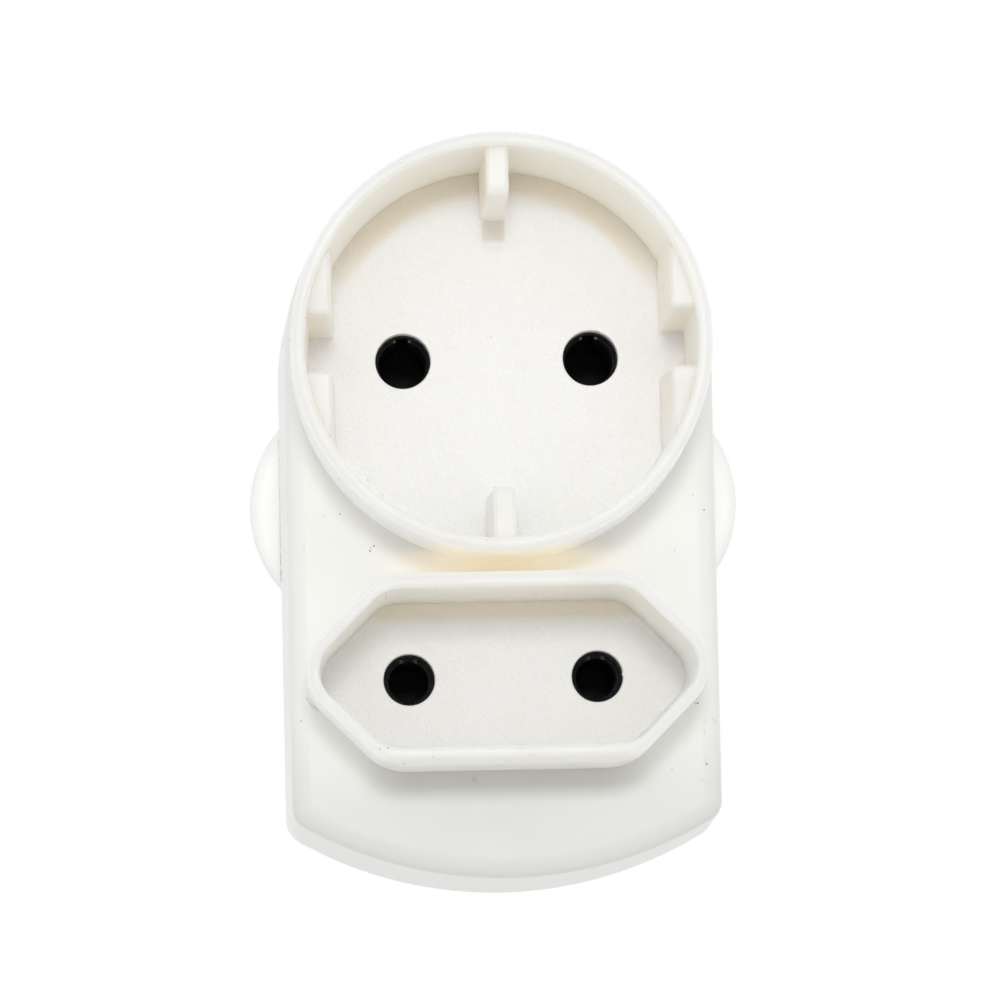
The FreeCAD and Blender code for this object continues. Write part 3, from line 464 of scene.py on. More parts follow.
class Finish:
    """A material's node tree, with short ways to add and join nodes."""

    def __init__(self, tree):
        self.tree = tree

    def add(self, kind, **values):
        node = self.tree.nodes.new("ShaderNode" + kind)
        for key, value in values.items():
            setattr(node, key, value)
        return node

    def join(self, source, target):
        self.tree.links.new(source, target)

    def math(self, operation, first, second):
        node = self.add("Math", operation=operation)
        for socket, value in zip(node.inputs, (first, second)):
            if isinstance(value, (int, float)):
                socket.default_value = value
            else:
                self.join(value, socket)
        return node.outputs[0]

    def between(self, value, low, high, out_low=0.0, out_high=1.0):
        """A soft step from out_low, where the value is low, to out_high, where it is high."""
        node = self.add("MapRange", interpolation_type="SMOOTHSTEP")
        self.join(value, node.inputs["Value"])
        for name, number in (("From Min", low), ("From Max", high),
                             ("To Min", out_low), ("To Max", out_high)):
            node.inputs[name].default_value = number
        return node.outputs["Result"]

    def blend(self, mask, first, second):
        """First where the mask is 0, second where it is 1."""
        node = self.add("Mix", data_type="RGBA")
        self.join(mask, node.inputs[0])
        for socket, value in ((node.inputs[6], first), (node.inputs[7], second)):
            if isinstance(value, tuple):
                socket.default_value = value + (1.0,)
            else:
                self.join(value, socket)
        return node.outputs[2]

    def near(self, value, centre, flat, fade):
        """1 within flat of the centre, falling to 0 over fade."""
        away = self.math("ABSOLUTE", self.math("SUBTRACT", value, centre), 0.0)
        return self.between(away, flat, flat + fade, 1.0, 0.0)

    def where_all(self, *masks):
        """1 where every mask is 1."""
        result = masks[0]
        for mask in masks[1:]:
            result = self.math("MULTIPLY", result, mask)
        return result

    def without(self, mask):
        return self.math("SUBTRACT", 1.0, mask)

    def parts(self, vector):
        """The three parts of a vector."""
        node = self.add("SeparateXYZ")
        self.join(vector, node.inputs[0])
        return node.outputs

    def distance(self, first, second):
        """How long the vector with these two parts is."""
        squares = [self.math("MULTIPLY", part, part) for part in (first, second)]
        return self.math("POWER", self.math("ADD", *squares), 0.5)

    def noise(self, place, scale, detail=2.0, roughness=0.5):
        node = self.add("TexNoise")
        node.inputs["Scale"].default_value = scale
        node.inputs["Detail"].default_value = detail
        node.inputs["Roughness"].default_value = roughness
        self.join(place, node.inputs["Vector"])
        return node.outputs["Fac"]

    def millimetres(self, stretch=(1.0, 1.0, 1.0)):
        """The object's own coordinates in mm, which a group or a material starts from."""
        place = self.add("TexCoord")
        scale = self.add("Mapping")
        scale.inputs["Scale"].default_value = [1000.0 * factor for factor in stretch]
        self.join(place.outputs["Object"], scale.inputs["Vector"])
        return scale.outputs["Vector"]


def new_group(name, inputs, outputs):
    """A shader node group with float inputs and float or colour outputs."""
    tree = bpy.data.node_groups.new(name, "ShaderNodeTree")
    for label, number in inputs.items():
        socket = tree.interface.new_socket(label, in_out="INPUT", socket_type="NodeSocketFloat")
        socket.default_value = number
    for label, kind in outputs.items():
        tree.interface.new_socket(label, in_out="OUTPUT", socket_type="NodeSocket" + kind)
    return Finish(tree), tree.nodes.new("NodeGroupInput"), tree.nodes.new("NodeGroupOutput")


def make_grain_group():
    """Fine grain: a height and a soft mottling, from a grain size in mm."""
    finish, given, out = new_group(
        "fine_grain", {"Grains per mm": 2.0, "Patch size mm": 12.0},
        {"Height": "Float", "Mottle": "Float"})
    place = finish.millimetres()
    grain = finish.noise(place, 2.0, 2.0, 0.55)
    finish.join(given.outputs["Grains per mm"], grain.node.inputs["Scale"])
    patch = finish.noise(place, 0.1, 3.0, 0.6)
    finish.join(finish.math("DIVIDE", 1.0, given.outputs["Patch size mm"]),
                patch.node.inputs["Scale"])
    finish.join(grain, out.inputs["Height"])
    finish.join(finish.between(patch, 0.35, 0.65), out.inputs["Mottle"])
    return finish.tree


def make_brushed_group():
    """Fine lines that run along one axis, for drawn and turned metal."""
    finish, given, out = new_group(
        "drawn_lines", {"Lines per mm": 6.0}, {"Height": "Float", "Mottle": "Float"})
    place = finish.millimetres((1.0, 0.04, 1.0))
    lines = finish.noise(place, 6.0, 2.0, 0.6)
    finish.join(given.outputs["Lines per mm"], lines.node.inputs["Scale"])
    patch = finish.noise(finish.millimetres(), 0.35, 3.0, 0.6)
    finish.join(lines, out.inputs["Height"])
    finish.join(finish.between(patch, 0.4, 0.68), out.inputs["Mottle"])
    return finish.tree


GRAIN = make_grain_group()
DRAWN_LINES = make_brushed_group()


def new_material(name):
    """A material, its node tree and its shader."""
    material = bpy.data.materials.new(name)
    material.use_nodes = True
    finish = Finish(material.node_tree)
    return material, finish, material.node_tree.nodes["Principled BSDF"]


def place_group(finish, tree, **values):
    """A shared node group placed in a finish with values of its own."""
    node = finish.add("Group", node_tree=tree)
    for name, number in values.items():
        node.inputs[name.replace("_", " ")].default_value = number
    return node


def add_bump(finish, shader, height, depth_mm):
    """Relief of that depth on the shader's surface."""
    bump = finish.add("Bump")
    bump.inputs["Strength"].default_value = 1.0
    bump.inputs["Distance"].default_value = depth_mm * MM
    finish.join(height, bump.inputs["Height"])
    finish.join(bump.outputs["Normal"], shader.inputs["Normal"])


BRASS = (0.76, 0.56, 0.26)
DULL_BRASS = (0.42, 0.29, 0.12)
# Painted shade: black for the insides and mouths of the contacts
HOLE_SHADE = (0.014, 0.014, 0.016)
FRESH = (0.990, 0.982, 0.950)
MOTTLED = (0.982, 0.971, 0.932)
# Painted warm shade on the upper inner walls
WARM_WALL_SHADE = (0.945, 0.884, 0.802)
SIDE_SKIN = (0.965, 0.949, 0.898)
# Duller face, and darker towards its bottom: partly painted shade
OUTER_SKIN = (0.845, 0.836, 0.797)
DARKER_LOW_FACE = (0.752, 0.744, 0.712)
# Painted shade low on the hexagonal collar and on the face under it
HEX_LOW_SHADE = (0.660, 0.652, 0.612)
# Painted shade on the thin walls' faces that face the front, such as rims, ledges and tab ends
FRONT_FACE_SHADE = (0.780, 0.767, 0.720)
FRONT_FACE_SHADE_DULL = (0.750, 0.738, 0.694)
# Painted shade in the floors' stipple dimples
PAINTED_STIPPLE_SHADE = (0.950, 0.940, 0.896)
SHADED_CORNER = (0.908, 0.846, 0.724)
# Painted shadow of the top tab on the floor
PAINTED_TAB_SHADOW = (0.850, 0.812, 0.732)
# Painted warm glow at the hexagonal collar's foot
FOOT_GLOW_PAINT = (0.820, 0.775, 0.650)
# Painted glow under the round collar, as tint and emission, for light through the plastic
PAINTED_GLOW_TINT = (0.980, 0.912, 0.795)
THROUGH_LIGHT = (0.168, 0.142, 0.102)
JOINT_DIRT = (0.480, 0.465, 0.430)
BLACK = (0.0, 0.0, 0.0)
WHITE = (1.0, 1.0, 1.0)

SMOOTH_SKIN = 0.38
ROUGH_SKIN = 0.46
FLOOR_ROUGHER = 0.14
SKIN_GRAIN = 0.12
STIPPLE_MM = 0.13
LIGHT_SPREAD = (1.0, 0.93, 0.82)
PLASTIC_IOR = 1.46
METAL_LINES_MM = 0.01

# The foot of the hexagonal collar, the heights between the two rows of contacts, and how
# far a face's middle may lie from a level and still be on it
HEX_FOOT = FLAT_Y - HEX_HALF_HEIGHT
BETWEEN_ROWS = (-4.0, -3.0)
LEVEL_MM = 0.02

# How far the contacts' painted black shade reaches past a bore, round a mouth and back from
# it, and how far beside a contact's middle each painted glint spot is
HOLE_SHADE_PAST_BORE = 0.03
HOLE_SHADE_ROUND_MOUTH = 0.8
HOLE_SHADE_DEPTH = 1.5
HOLE_SHADE_ROUGHER = 0.4
GLINT_BESIDE = 0.72


class Place:
    """Where a point of the white mouldings is, in mm from the plug's middle."""

    def __init__(self, finish):
        self.across, self.depth, self.height = finish.parts(finish.millimetres())
        self.from_round = finish.math("SUBTRACT", self.height, ROUND_Y)
        self.from_flat = finish.math("SUBTRACT", self.height, FLAT_Y)
        self.radius = finish.distance(self.across, self.from_round)
        _, self.facing_back, self.facing_up = finish.parts(
            finish.add("NewGeometry").outputs["Normal"])
        self.on_floor = finish.where_all(finish.near(self.depth, -FLOOR, flat=0.1, fade=0.3),
                                         finish.near(self.across, 0.0, flat=20.6, fade=0.4),
                                         finish.near(self.height, 2.2, flat=30.4, fade=0.4))


def thin_wall_colour(finish, here, to_front, plain, painted_light):
    """Painted warm shade on the upper inner walls, painted shade on faces that face the front
    such as the rims, painted shade low on the hexagonal collar and a painted glow at its foot.
    """
    in_round = finish.where_all(
        finish.between(here.from_round, -13.0, -6.0),
        finish.between(here.radius, RECESS_MOUTH_RADIUS + 0.7, RECESS_MOUTH_RADIUS + 0.3))
    in_flat = finish.where_all(finish.between(here.from_flat, -1.0, 4.0),
                               finish.between(here.from_flat, 12.0, 11.0),
                               finish.between(here.facing_up, 0.3, 0.0))
    # Painted warm shade on the upper inner walls
    walls = finish.blend(finish.math("ADD", in_round, in_flat), plain, WARM_WALL_SHADE)
    # Painted shade on faces that face the front
    colour = finish.blend(to_front, walls, painted_light)
    # Painted shade low on the hexagonal collar
    lower_wall = finish.between(here.height, HEX_FOOT + 1.4, HEX_FOOT + 0.3)
    colour = finish.blend(finish.math("MULTIPLY", lower_wall, 0.6), colour, HEX_LOW_SHADE)
    # Painted warm glow at the collar's foot
    foot = finish.where_all(lower_wall, finish.near(here.depth, -FACE, flat=0.3, fade=0.5))
    return finish.blend(foot, colour, FOOT_GLOW_PAINT)


def outer_colour(finish, here, plain):
    """Duller on the outer skin, most of all on the face, and darker low on the face, partly as
    painted shade, with painted shade on the face under the hexagon.
    """
    on_face = finish.near(here.depth, 0.4 - FACE, flat=0.7, fade=0.9)
    outside = finish.where_all(finish.between(here.depth, -FACE - 0.8, -FACE),
                               finish.without(here.on_floor))
    low = finish.between(here.height, -22.0, -34.0)
    under_hexagon = finish.where_all(on_face, finish.near(here.across, 0.0, flat=9.0, fade=7.0),
                                     finish.near(here.height, HEX_FOOT, flat=0.9, fade=2.6))
    colour = finish.blend(outside, plain, SIDE_SKIN)
    colour = finish.blend(on_face, colour, OUTER_SKIN)
    # Darker towards the bottom of the face, partly painted shade
    colour = finish.blend(finish.where_all(on_face, low), colour, DARKER_LOW_FACE)
    # Painted shade on the face under the hexagon
    return finish.blend(under_hexagon, colour, HEX_LOW_SHADE)


def floor_colour(finish, here, plain, grain_height):
    """Painted shade in the stipple's dimples on the socket floors, and painted warm shadow below
    the upper walls and the top tab.
    """
    # Painted shade in the stipple's dimples
    dimple = finish.between(grain_height, 0.40, 0.60, 0.5, 0.0)
    colour = finish.blend(finish.where_all(here.on_floor, dimple), plain, PAINTED_STIPPLE_SHADE)
    round_top = finish.where_all(finish.between(here.from_round, 5.0, 13.0),
                                 finish.near(here.radius, RECESS_FLOOR_RADIUS, flat=1.6, fade=1.4))
    flat_top = finish.near(here.from_flat, HEX_HALF_HEIGHT - HEX_WALL_ABOVE, flat=1.3, fade=1.2)
    shaded = finish.where_all(here.on_floor, finish.math("MAXIMUM", round_top, flat_top))
    colour = finish.blend(shaded, colour, SHADED_CORNER)
    # Painted shadow of the top tab
    painted_tab_shadow = finish.where_all(here.on_floor,
                                 finish.near(here.across, TAB_SHIFT, flat=0.95, fade=0.4),
                                 finish.near(here.from_round, TAB_REACH - 1.0, flat=0.7, fade=0.7))
    return finish.blend(painted_tab_shadow, colour, PAINTED_TAB_SHADOW)


def dirty_joint(finish, here):
    """Where dirt sits, in streaks, in the joint beside a grip, and more so lower down."""
    streaks = finish.between(finish.noise(finish.millimetres((1.0, 1.0, 0.5)), 2.2, 3.0),
                             0.35, 0.65, 0.25, 0.9)
    sides = finish.math("ABSOLUTE", here.across, 0.0)
    return finish.where_all(finish.near(sides, CASE_HALF_WIDTH + 0.04, flat=0.02, fade=0.1),
                            finish.near(here.depth, -SEAM, flat=0.3, fade=0.15),
                            finish.near(here.height, 0.0, flat=8.6, fade=0.6), streaks,
                            finish.between(here.height, -7.5, 3.0, 1.0, 0.4))


def make_white_plastic(name, light_depth_mm, light_share, thin=False):
    """Warm white moulded plastic that lets some light through. The socket floors are
    finely stippled, with painted shade in the dimples and painted shadows below the walls and
    the top tab. The thin walls' upper inner faces and the faces that face the front carry
    painted shade, the outer skin is duller, partly as painted shade, dirt sits in the joint
    beside the finger grips, and a painted glow with emission stands for light through the
    plastic under the round collar."""
    material, finish, shader = new_material(name)
    here = Place(finish)
    grain = place_group(finish, GRAIN, Grains_per_mm=3.6, Patch_size_mm=9.0)
    mottle = grain.outputs["Mottle"]
    colour = finish.blend(mottle, FRESH, MOTTLED)
    if thin:
        # Painted shade on the thin walls' faces that face the front
        colour = thin_wall_colour(
            finish, here, finish.between(here.facing_back, -0.15, -0.92), colour,
            finish.blend(mottle, FRONT_FACE_SHADE, FRONT_FACE_SHADE_DULL))
    else:
        colour = outer_colour(finish, here, colour)
    colour = floor_colour(finish, here, colour, grain.outputs["Height"])
    # Painted glow under the round collar, in place of light through the plastic
    beneath = finish.where_all(
        finish.near(here.across, 0.0, flat=4.0, fade=10.0),
        finish.near(here.height, ROUND_Y - COLLAR_BASE_RADIUS, flat=0.5, fade=1.6),
        finish.between(here.depth, 0.5 - RIM, 1.8 - RIM),
        finish.near(here.depth, 1.0 - RIM, flat=13.0, fade=0.4))
    colour = finish.blend(beneath, colour, PAINTED_GLOW_TINT)
    colour = finish.blend(dirty_joint(finish, here), colour, JOINT_DIRT)
    finish.join(colour, shader.inputs["Base Color"])
    # Emission for the painted glow
    finish.join(finish.blend(beneath, BLACK, THROUGH_LIGHT), shader.inputs["Emission Color"])
    shader.inputs["Emission Strength"].default_value = 1.0

    skin = finish.between(mottle, 0.0, 1.0, SMOOTH_SKIN, ROUGH_SKIN)
    finish.join(finish.math("ADD", skin, finish.math("MULTIPLY", here.on_floor, FLOOR_ROUGHER)),
                shader.inputs["Roughness"])
    stipple = finish.math("MULTIPLY", grain.outputs["Height"],
                          finish.between(here.on_floor, 0.0, 1.0, SKIN_GRAIN, 1.0))
    add_bump(finish, shader, stipple, STIPPLE_MM)
    shader.inputs["Subsurface Weight"].default_value = light_share
    shader.inputs["Subsurface Radius"].default_value = LIGHT_SPREAD
    shader.inputs["Subsurface Scale"].default_value = light_depth_mm * MM
    shader.inputs["IOR"].default_value = PLASTIC_IOR
    return material


def make_grained(name, colour, mottled, rough, grains, patch, bump_mm):
    """A matt solid with grain and mottled colour, such as thermoset or fibre sheet."""
    material, finish, shader = new_material(name)
    grain = place_group(finish, GRAIN, Grains_per_mm=grains, Patch_size_mm=patch)
    finish.join(finish.blend(grain.outputs["Mottle"], colour, mottled), shader.inputs["Base Color"])
    finish.join(finish.between(grain.outputs["Height"], 0.3, 0.7, rough - 0.06, rough + 0.06),
                shader.inputs["Roughness"])
    add_bump(finish, shader, grain.outputs["Height"], bump_mm)
    return material


def make_metal(name, bright, dull, smooth_rough, dull_rough, lines):
    """Drawn, plated or stamped metal whose tarnish dulls it in patches."""
    material, finish, shader = new_material(name)
    drawn = place_group(finish, DRAWN_LINES, Lines_per_mm=lines)
    tarnish = drawn.outputs["Mottle"]
    finish.join(finish.blend(tarnish, bright, dull), shader.inputs["Base Color"])
    finish.join(finish.between(tarnish, 0.0, 1.0, smooth_rough, dull_rough),
                shader.inputs["Roughness"])
    shader.inputs["Metallic"].default_value = 1.0
    add_bump(finish, shader, drawn.outputs["Height"], METAL_LINES_MM)
    return material


def make_contact_brass():
    """Stamped brass, painted black as shade inside the contacts and over their mouths, except
    two bright brass spots on each upper one, which are painted glints."""
    material, finish, shader = new_material("stamped_brass")
    drawn = place_group(finish, DRAWN_LINES, Lines_per_mm=6.0)
    across, depth, height = finish.parts(finish.millimetres())
    beside = finish.math("ABSOLUTE", finish.math(
        "SUBTRACT", finish.math("ABSOLUTE", across, 0.0), PIN_X), 0.0)
    above = finish.math("SUBTRACT", height, finish.between(height, *BETWEEN_ROWS, FLAT_Y, ROUND_Y))
    radius = finish.distance(beside, above)
    bore = finish.between(height, *BETWEEN_ROWS, LOWER_BORE + HOLE_SHADE_PAST_BORE,
                          UPPER_BORE + HOLE_SHADE_PAST_BORE)
    inside = finish.math("LESS_THAN", radius, bore)
    mouth = finish.where_all(finish.math("LESS_THAN", radius, UPPER_BORE + HOLE_SHADE_ROUND_MOUTH),
                             finish.math("LESS_THAN", depth, HOLE_SHADE_DEPTH - CONTACT_MOUTH))
    # Painted shade: black inside the contacts and round their mouths
    black = finish.math("MAXIMUM", inside, mouth)
    # Painted glints: bright brass kept at two spots on each upper contact
    painted_light = finish.where_all(finish.near(beside, GLINT_BESIDE, flat=0.1, fade=0.12),
                              finish.between(above, 1.5, 1.9),
                              finish.near(depth, -CONTACT_MOUTH, flat=0.4, fade=0.2),
                              finish.between(height, *BETWEEN_ROWS, 0.3, 1.0))
    mottle = drawn.outputs["Mottle"]
    colour = finish.blend(black, finish.blend(mottle, BRASS, DULL_BRASS), HOLE_SHADE)
    finish.join(finish.blend(painted_light, colour, BRASS), shader.inputs["Base Color"])
    finish.join(finish.math("ADD", finish.between(mottle, 0.0, 1.0, 0.26, 0.46),
                            finish.math("MULTIPLY", black, HOLE_SHADE_ROUGHER)),
                shader.inputs["Roughness"])
    finish.join(finish.math("MAXIMUM", painted_light, finish.without(black)),
                shader.inputs["Metallic"])
    add_bump(finish, shader, drawn.outputs["Height"], METAL_LINES_MM)
    return material


FINISHES = {
    "white_plastic": make_white_plastic("warm_white_plastic", light_depth_mm=0.12,
                                        light_share=0.5),
    "black_plastic": make_grained("black_thermoset", colour=(0.009, 0.010, 0.013),
                                  mottled=(0.016, 0.017, 0.021), rough=0.36, grains=3.0,
                                  patch=5.0, bump_mm=0.02),
    "pressboard": make_grained("black_fibre_sheet", colour=(0.022, 0.022, 0.025),
                               mottled=(0.040, 0.039, 0.041), rough=0.72, grains=4.0,
                               patch=3.0, bump_mm=0.04),
    "brass": make_contact_brass(),
    "spring_steel": make_metal("tempered_steel", bright=(0.42, 0.43, 0.45),
                               dull=(0.27, 0.27, 0.28), smooth_rough=0.28,
                               dull_rough=0.42, lines=8.0),
    "zinc_steel": make_metal("zinc_plate", bright=(0.66, 0.68, 0.70),
                             dull=(0.50, 0.51, 0.52), smooth_rough=0.26,
                             dull_rough=0.40, lines=6.0),
    "nickel": make_metal("nickel_plate", bright=(0.74, 0.72, 0.68),
                         dull=(0.60, 0.57, 0.53), smooth_rough=0.14,
                         dull_rough=0.26, lines=9.0),
}
THIN_PLASTIC = make_white_plastic("warm_white_thin_walls", light_depth_mm=3.0,
                                  light_share=1.0, thin=True)


def thin_wall(x, y, z):
    """Whether a point of the housing is on a collar, a recess wall, a ledge or a tab."""
    if abs(z - FACE) < LEVEL_MM:
        return False
    if z > FACE:
        return True
    in_round = math.hypot(x, y - ROUND_Y) < RECESS_MOUTH_RADIUS + 0.2
    in_flat = (abs(x) < CASE_HALF_WIDTH - 3.0
               and abs(y - FLAT_Y) < HEX_HALF_HEIGHT - HEX_WALL_ABOVE + 0.5)
    return z > FLOOR + LEVEL_MM and (in_round or in_flat)


def finish_housing(housing):
    """The thin walls of the sockets let more light through than the rest."""
    housing.data.materials.append(FINISHES["white_plastic"])
    housing.data.materials.append(THIN_PLASTIC)
    for face in housing.data.polygons:
        x, away, y = [number / MM for number in face.center]
        face.material_index = int(thin_wall(x, y, -away))


# Small marks, grown with geometry nodes

class Growth:
    """A geometry node tree with named inputs, and short ways to add and join nodes."""

    def __init__(self, name, inputs):
        self.tree = bpy.data.node_groups.new(name, "GeometryNodeTree")
        self.tree.interface.new_socket("Geometry", in_out="INPUT",
                                       socket_type="NodeSocketGeometry")
        self.keys = {}
        for label, kind in inputs.items():
            socket = self.tree.interface.new_socket(label, in_out="INPUT",
                                                    socket_type="NodeSocket" + kind)
            self.keys[label] = socket.identifier
        self.tree.interface.new_socket("Geometry", in_out="OUTPUT",
                                       socket_type="NodeSocketGeometry")
        self.given = self.tree.nodes.new("NodeGroupInput")
        self.out = self.tree.nodes.new("NodeGroupOutput")

    def add(self, kind, *sources, **links):
        """A node whose first sockets, or named ones, are joined to outputs or set."""
        node = self.tree.nodes.new(kind)
        for key, value in list(enumerate(sources)) + list(links.items()):
            socket = node.inputs[key.replace("_", " ") if isinstance(key, str) else key]
            if isinstance(value, bpy.types.NodeSocket):
                self.tree.links.new(value, socket)
            else:
                socket.default_value = value
        return node

    def end(self, shape):
        """Instances made real and given their material, as the tree's result."""
        real = self.add("GeometryNodeRealizeInstances", shape)
        coloured = self.add("GeometryNodeSetMaterial", real.outputs[0],
                            Material=self.given.outputs["Material"])
        self.tree.links.new(coloured.outputs[0], self.out.inputs[0])

    def grow(self, mesh, name, **values):
        """The tree's result on a mesh, as a plain mesh object of its own."""
        thing = link(mesh, name)
        modifier = thing.modifiers.new("growth", "NODES")
        modifier.node_group = self.tree
        for label, value in values.items():
            modifier[self.keys[label.replace("_", " ")]] = value
        graph = bpy.context.evaluated_depsgraph_get()
        grown = bpy.data.meshes.new_from_object(thing.evaluated_get(graph))
        thing.modifiers.remove(modifier)
        thing.data = grown
        grown.name = name
        return thing


def make_speck_tree():
    """A small uneven lump on each point, sized by the point's own size in mm."""
    growth = Growth("specks", {"Unevenness": "Float", "Seed": "Int", "Material": "Material"})
    given = growth.given.outputs
    points = growth.add("GeometryNodeMeshToPoints", given["Geometry"])
    lump = growth.add("GeometryNodeMeshIcoSphere", Radius=MM, Subdivisions=2)
    turn = growth.add("FunctionNodeRandomValue", Seed=given["Seed"])
    turn.data_type = "FLOAT_VECTOR"
    turn.inputs[1].default_value = (2 * math.pi,) * 3
    size = growth.add("GeometryNodeInputNamedAttribute", Name="size")
    low = growth.add("ShaderNodeMath", 1.0, given["Unevenness"])
    low.operation = "SUBTRACT"
    stretch = growth.add("FunctionNodeRandomValue", Seed=given["Seed"])
    stretch.data_type = "FLOAT_VECTOR"
    growth.tree.links.new(low.outputs[0], stretch.inputs[0])
    stretch.inputs[1].default_value = (1.0, 1.0, 1.0)
    scale = growth.add("ShaderNodeVectorMath", stretch.outputs[0])
    scale.operation = "SCALE"
    growth.tree.links.new(size.outputs[0], scale.inputs["Scale"])
    lumps = growth.add("GeometryNodeInstanceOnPoints", points.outputs[0],
                       Instance=lump.outputs[0], Rotation=turn.outputs[0],
                       Scale=scale.outputs[0])
    growth.end(lumps.outputs[0])
    return growth


def make_scratch_tree():
    """A fine uneven thread along each line, for scratches, scuffs and hairs of dirt."""
    growth = Growth("scratches", {"Width mm": "Float", "Unevenness": "Float",
                                  "Seed": "Float", "Material": "Material"})
    given = growth.given.outputs
    line = growth.add("GeometryNodeMeshToCurve", given["Geometry"])
    uneven = growth.add("ShaderNodeTexNoise", Scale=2500.0)
    uneven.noise_dimensions = "4D"
    growth.tree.links.new(given["Seed"], uneven.inputs["W"])
    thin = growth.add("ShaderNodeMath", uneven.outputs[0], given["Unevenness"])
    thin.operation = "MULTIPLY"
    part = growth.add("ShaderNodeMath", 1.0, thin.outputs[0])
    part.operation = "SUBTRACT"
    half = growth.add("ShaderNodeMath", given["Width mm"], MM / 2)
    half.operation = "MULTIPLY"
    ring = growth.add("GeometryNodeCurvePrimitiveCircle", Resolution=6)
    growth.tree.links.new(half.outputs[0], ring.inputs["Radius"])
    sized = growth.add("GeometryNodeSetCurveRadius", line.outputs[0], Radius=part.outputs[0])
    thread = growth.add("GeometryNodeCurveToMesh", sized.outputs[0], ring.outputs[0])
    thread.inputs["Fill Caps"].default_value = True
    growth.end(thread.outputs[0])
    return growth


# Marks that the photograph shows: picture column and row, and the size in mm
DARK_SPECKS = (
    (290, 340, 0.045), (291, 325, 0.03), (305, 318, 0.03), (368, 480, 0.035),
    (372, 505, 0.03), (491, 337, 0.03), (494.5, 487, 0.03), (486, 540, 0.035),
    (477, 552, 0.05), (339, 479, 0.06), (340, 514, 0.055), (325, 516, 0.03),
    (374, 546, 0.06), (370, 551, 0.05), (371, 548, 0.04), (304, 549, 0.035),
    (360, 482, 0.025), (383, 496, 0.025), (675, 550, 0.04), (704, 510, 0.045),
    (693, 495, 0.03), (404, 764, 0.045), (301, 721, 0.045), (380, 749, 0.04),
    (388, 748, 0.045), (433, 757, 0.03), (418, 758, 0.03), (437, 587, 0.035),
    (535, 594, 0.03), (545, 591, 0.03), (622, 590, 0.035), (627, 592, 0.03),
    (698, 703, 0.055), (386, 593, 0.03), (707, 764, 0.045), (672, 769, 0.03),
    (706, 722, 0.03), (713, 719, 0.03), (440, 313, 0.02))
WHITE_NICKS = ((401, 161, 0.10), (623, 673.5, 0.16), (622.6, 670.5, 0.10))
DARK_HAIRS = (
    ((306, 697), (308, 701), (311, 705), (314, 709)), ((314, 706), (318, 711)),
    ((694, 703), (699, 704)), ((472, 777), (474, 783)), ((474.5, 776), (478, 785)))
FAINT_HAIRS = (
    ((700, 778), (703, 781), (709, 784)), ((712, 719), (716, 722), (719, 722)),
    ((705, 759), (706, 763), (705, 766)), ((386, 592), (386, 600)),
    ((489, 749), (496, 749.5)), ((518, 749), (526, 748)), ((528, 755), (537, 755.5)),
    ((505, 760), (512, 762)), ((553, 759), (561, 759.5)), ((704, 729), (705, 735)))

# Widths in mm, the length of a hair's steps in the picture, and shares of a mark's size
HAIR_MM = 0.055
FAINT_HAIR_MM = 0.03
HAIR_STEP = 1.5
SPECK_SPREAD = 1.8
SPECK_SINK = 0.35
HAIR_SINK = 0.25
SPECK_UNEVENNESS = 0.45
HAIR_UNEVENNESS = 0.6


class Sight:
    """Lines of sight through the picture, and where they meet a moulded piece."""

    def __init__(self, thing):
        self.place, self.right, self.up, self.ahead = camera_axes()
        self.focal = LENS_MM / SENSOR_MM * FRAME_PIXELS
        graph = bpy.context.evaluated_depsgraph_get()
        self.surface = BVHTree.FromObject(thing, graph)

    def meets(self, column, row, sink=0.0):
        """The point that is seen there, moved below the surface by sink in mm."""
        middle = FRAME_PIXELS / 2
        line = (self.ahead * self.focal + self.right * (column - middle)
                + self.up * (middle - row)).normalized()
        point, normal, _, _ = self.surface.ray_cast(self.place, line)
        if point is None:
            raise ValueError(f"the housing isn't seen at {column}, {row}")
        return point - normal * sink * MM


def make_specks(name, sight, marks, material, seed):
    """Small lumps whose middles lie a little below the surface."""
    mesh = bpy.data.meshes.new(name)
    mesh.from_pydata([sight.meets(x, y, SPECK_SINK * size) for x, y, size in marks], [], [])
    mesh.attributes.new("size", "FLOAT", "POINT").data.foreach_set(
        "value", [SPECK_SPREAD * size for _, _, size in marks])
    return SPECK_TREE.grow(mesh, name, Unevenness=SPECK_UNEVENNESS, Seed=seed,
                           Material=material)


def make_hairs(name, sight, paths, width, material, seed):
    """Threads that follow the surface along the paths, each in short steps."""
    points, edges = [], []
    for path in paths:
        for (x0, y0), (x1, y1) in zip(path, path[1:]):
            steps = max(1, round(math.hypot(x1 - x0, y1 - y0) / HAIR_STEP))
            for i in range(steps + 1):
                if i:
                    edges.append((len(points) - 1, len(points)))
                share = i / steps
                points.append(sight.meets(x0 + (x1 - x0) * share, y0 + (y1 - y0) * share,
                                          HAIR_SINK * width))
    mesh = bpy.data.meshes.new(name)
    mesh.from_pydata(points, edges, [])
    return SCRATCH_TREE.grow(mesh, name, Width_mm=width, Unevenness=HAIR_UNEVENNESS,
                             Seed=seed, Material=material)


def finish_node(thing, slot):
    """The slot's finish on a whole piece."""
    material = FINISHES[slot]
    if thing.material_slots:
        thing.material_slots[0].material = material
    else:
        thing.data.materials.append(material)


# Light, backdrop and camera

LENS_MM = 237.8
SENSOR_MM = 36.0
FRAME_PIXELS = 1000
CAMERA_TARGET = (-0.000537, -0.0576, -0.00281)
CAMERA_DISTANCE = 0.65013
LOOK_UP = math.radians(5.027)
LOOK_RIGHT = math.radians(1.87)
CAMERA_ROLL = math.radians(-1.222)


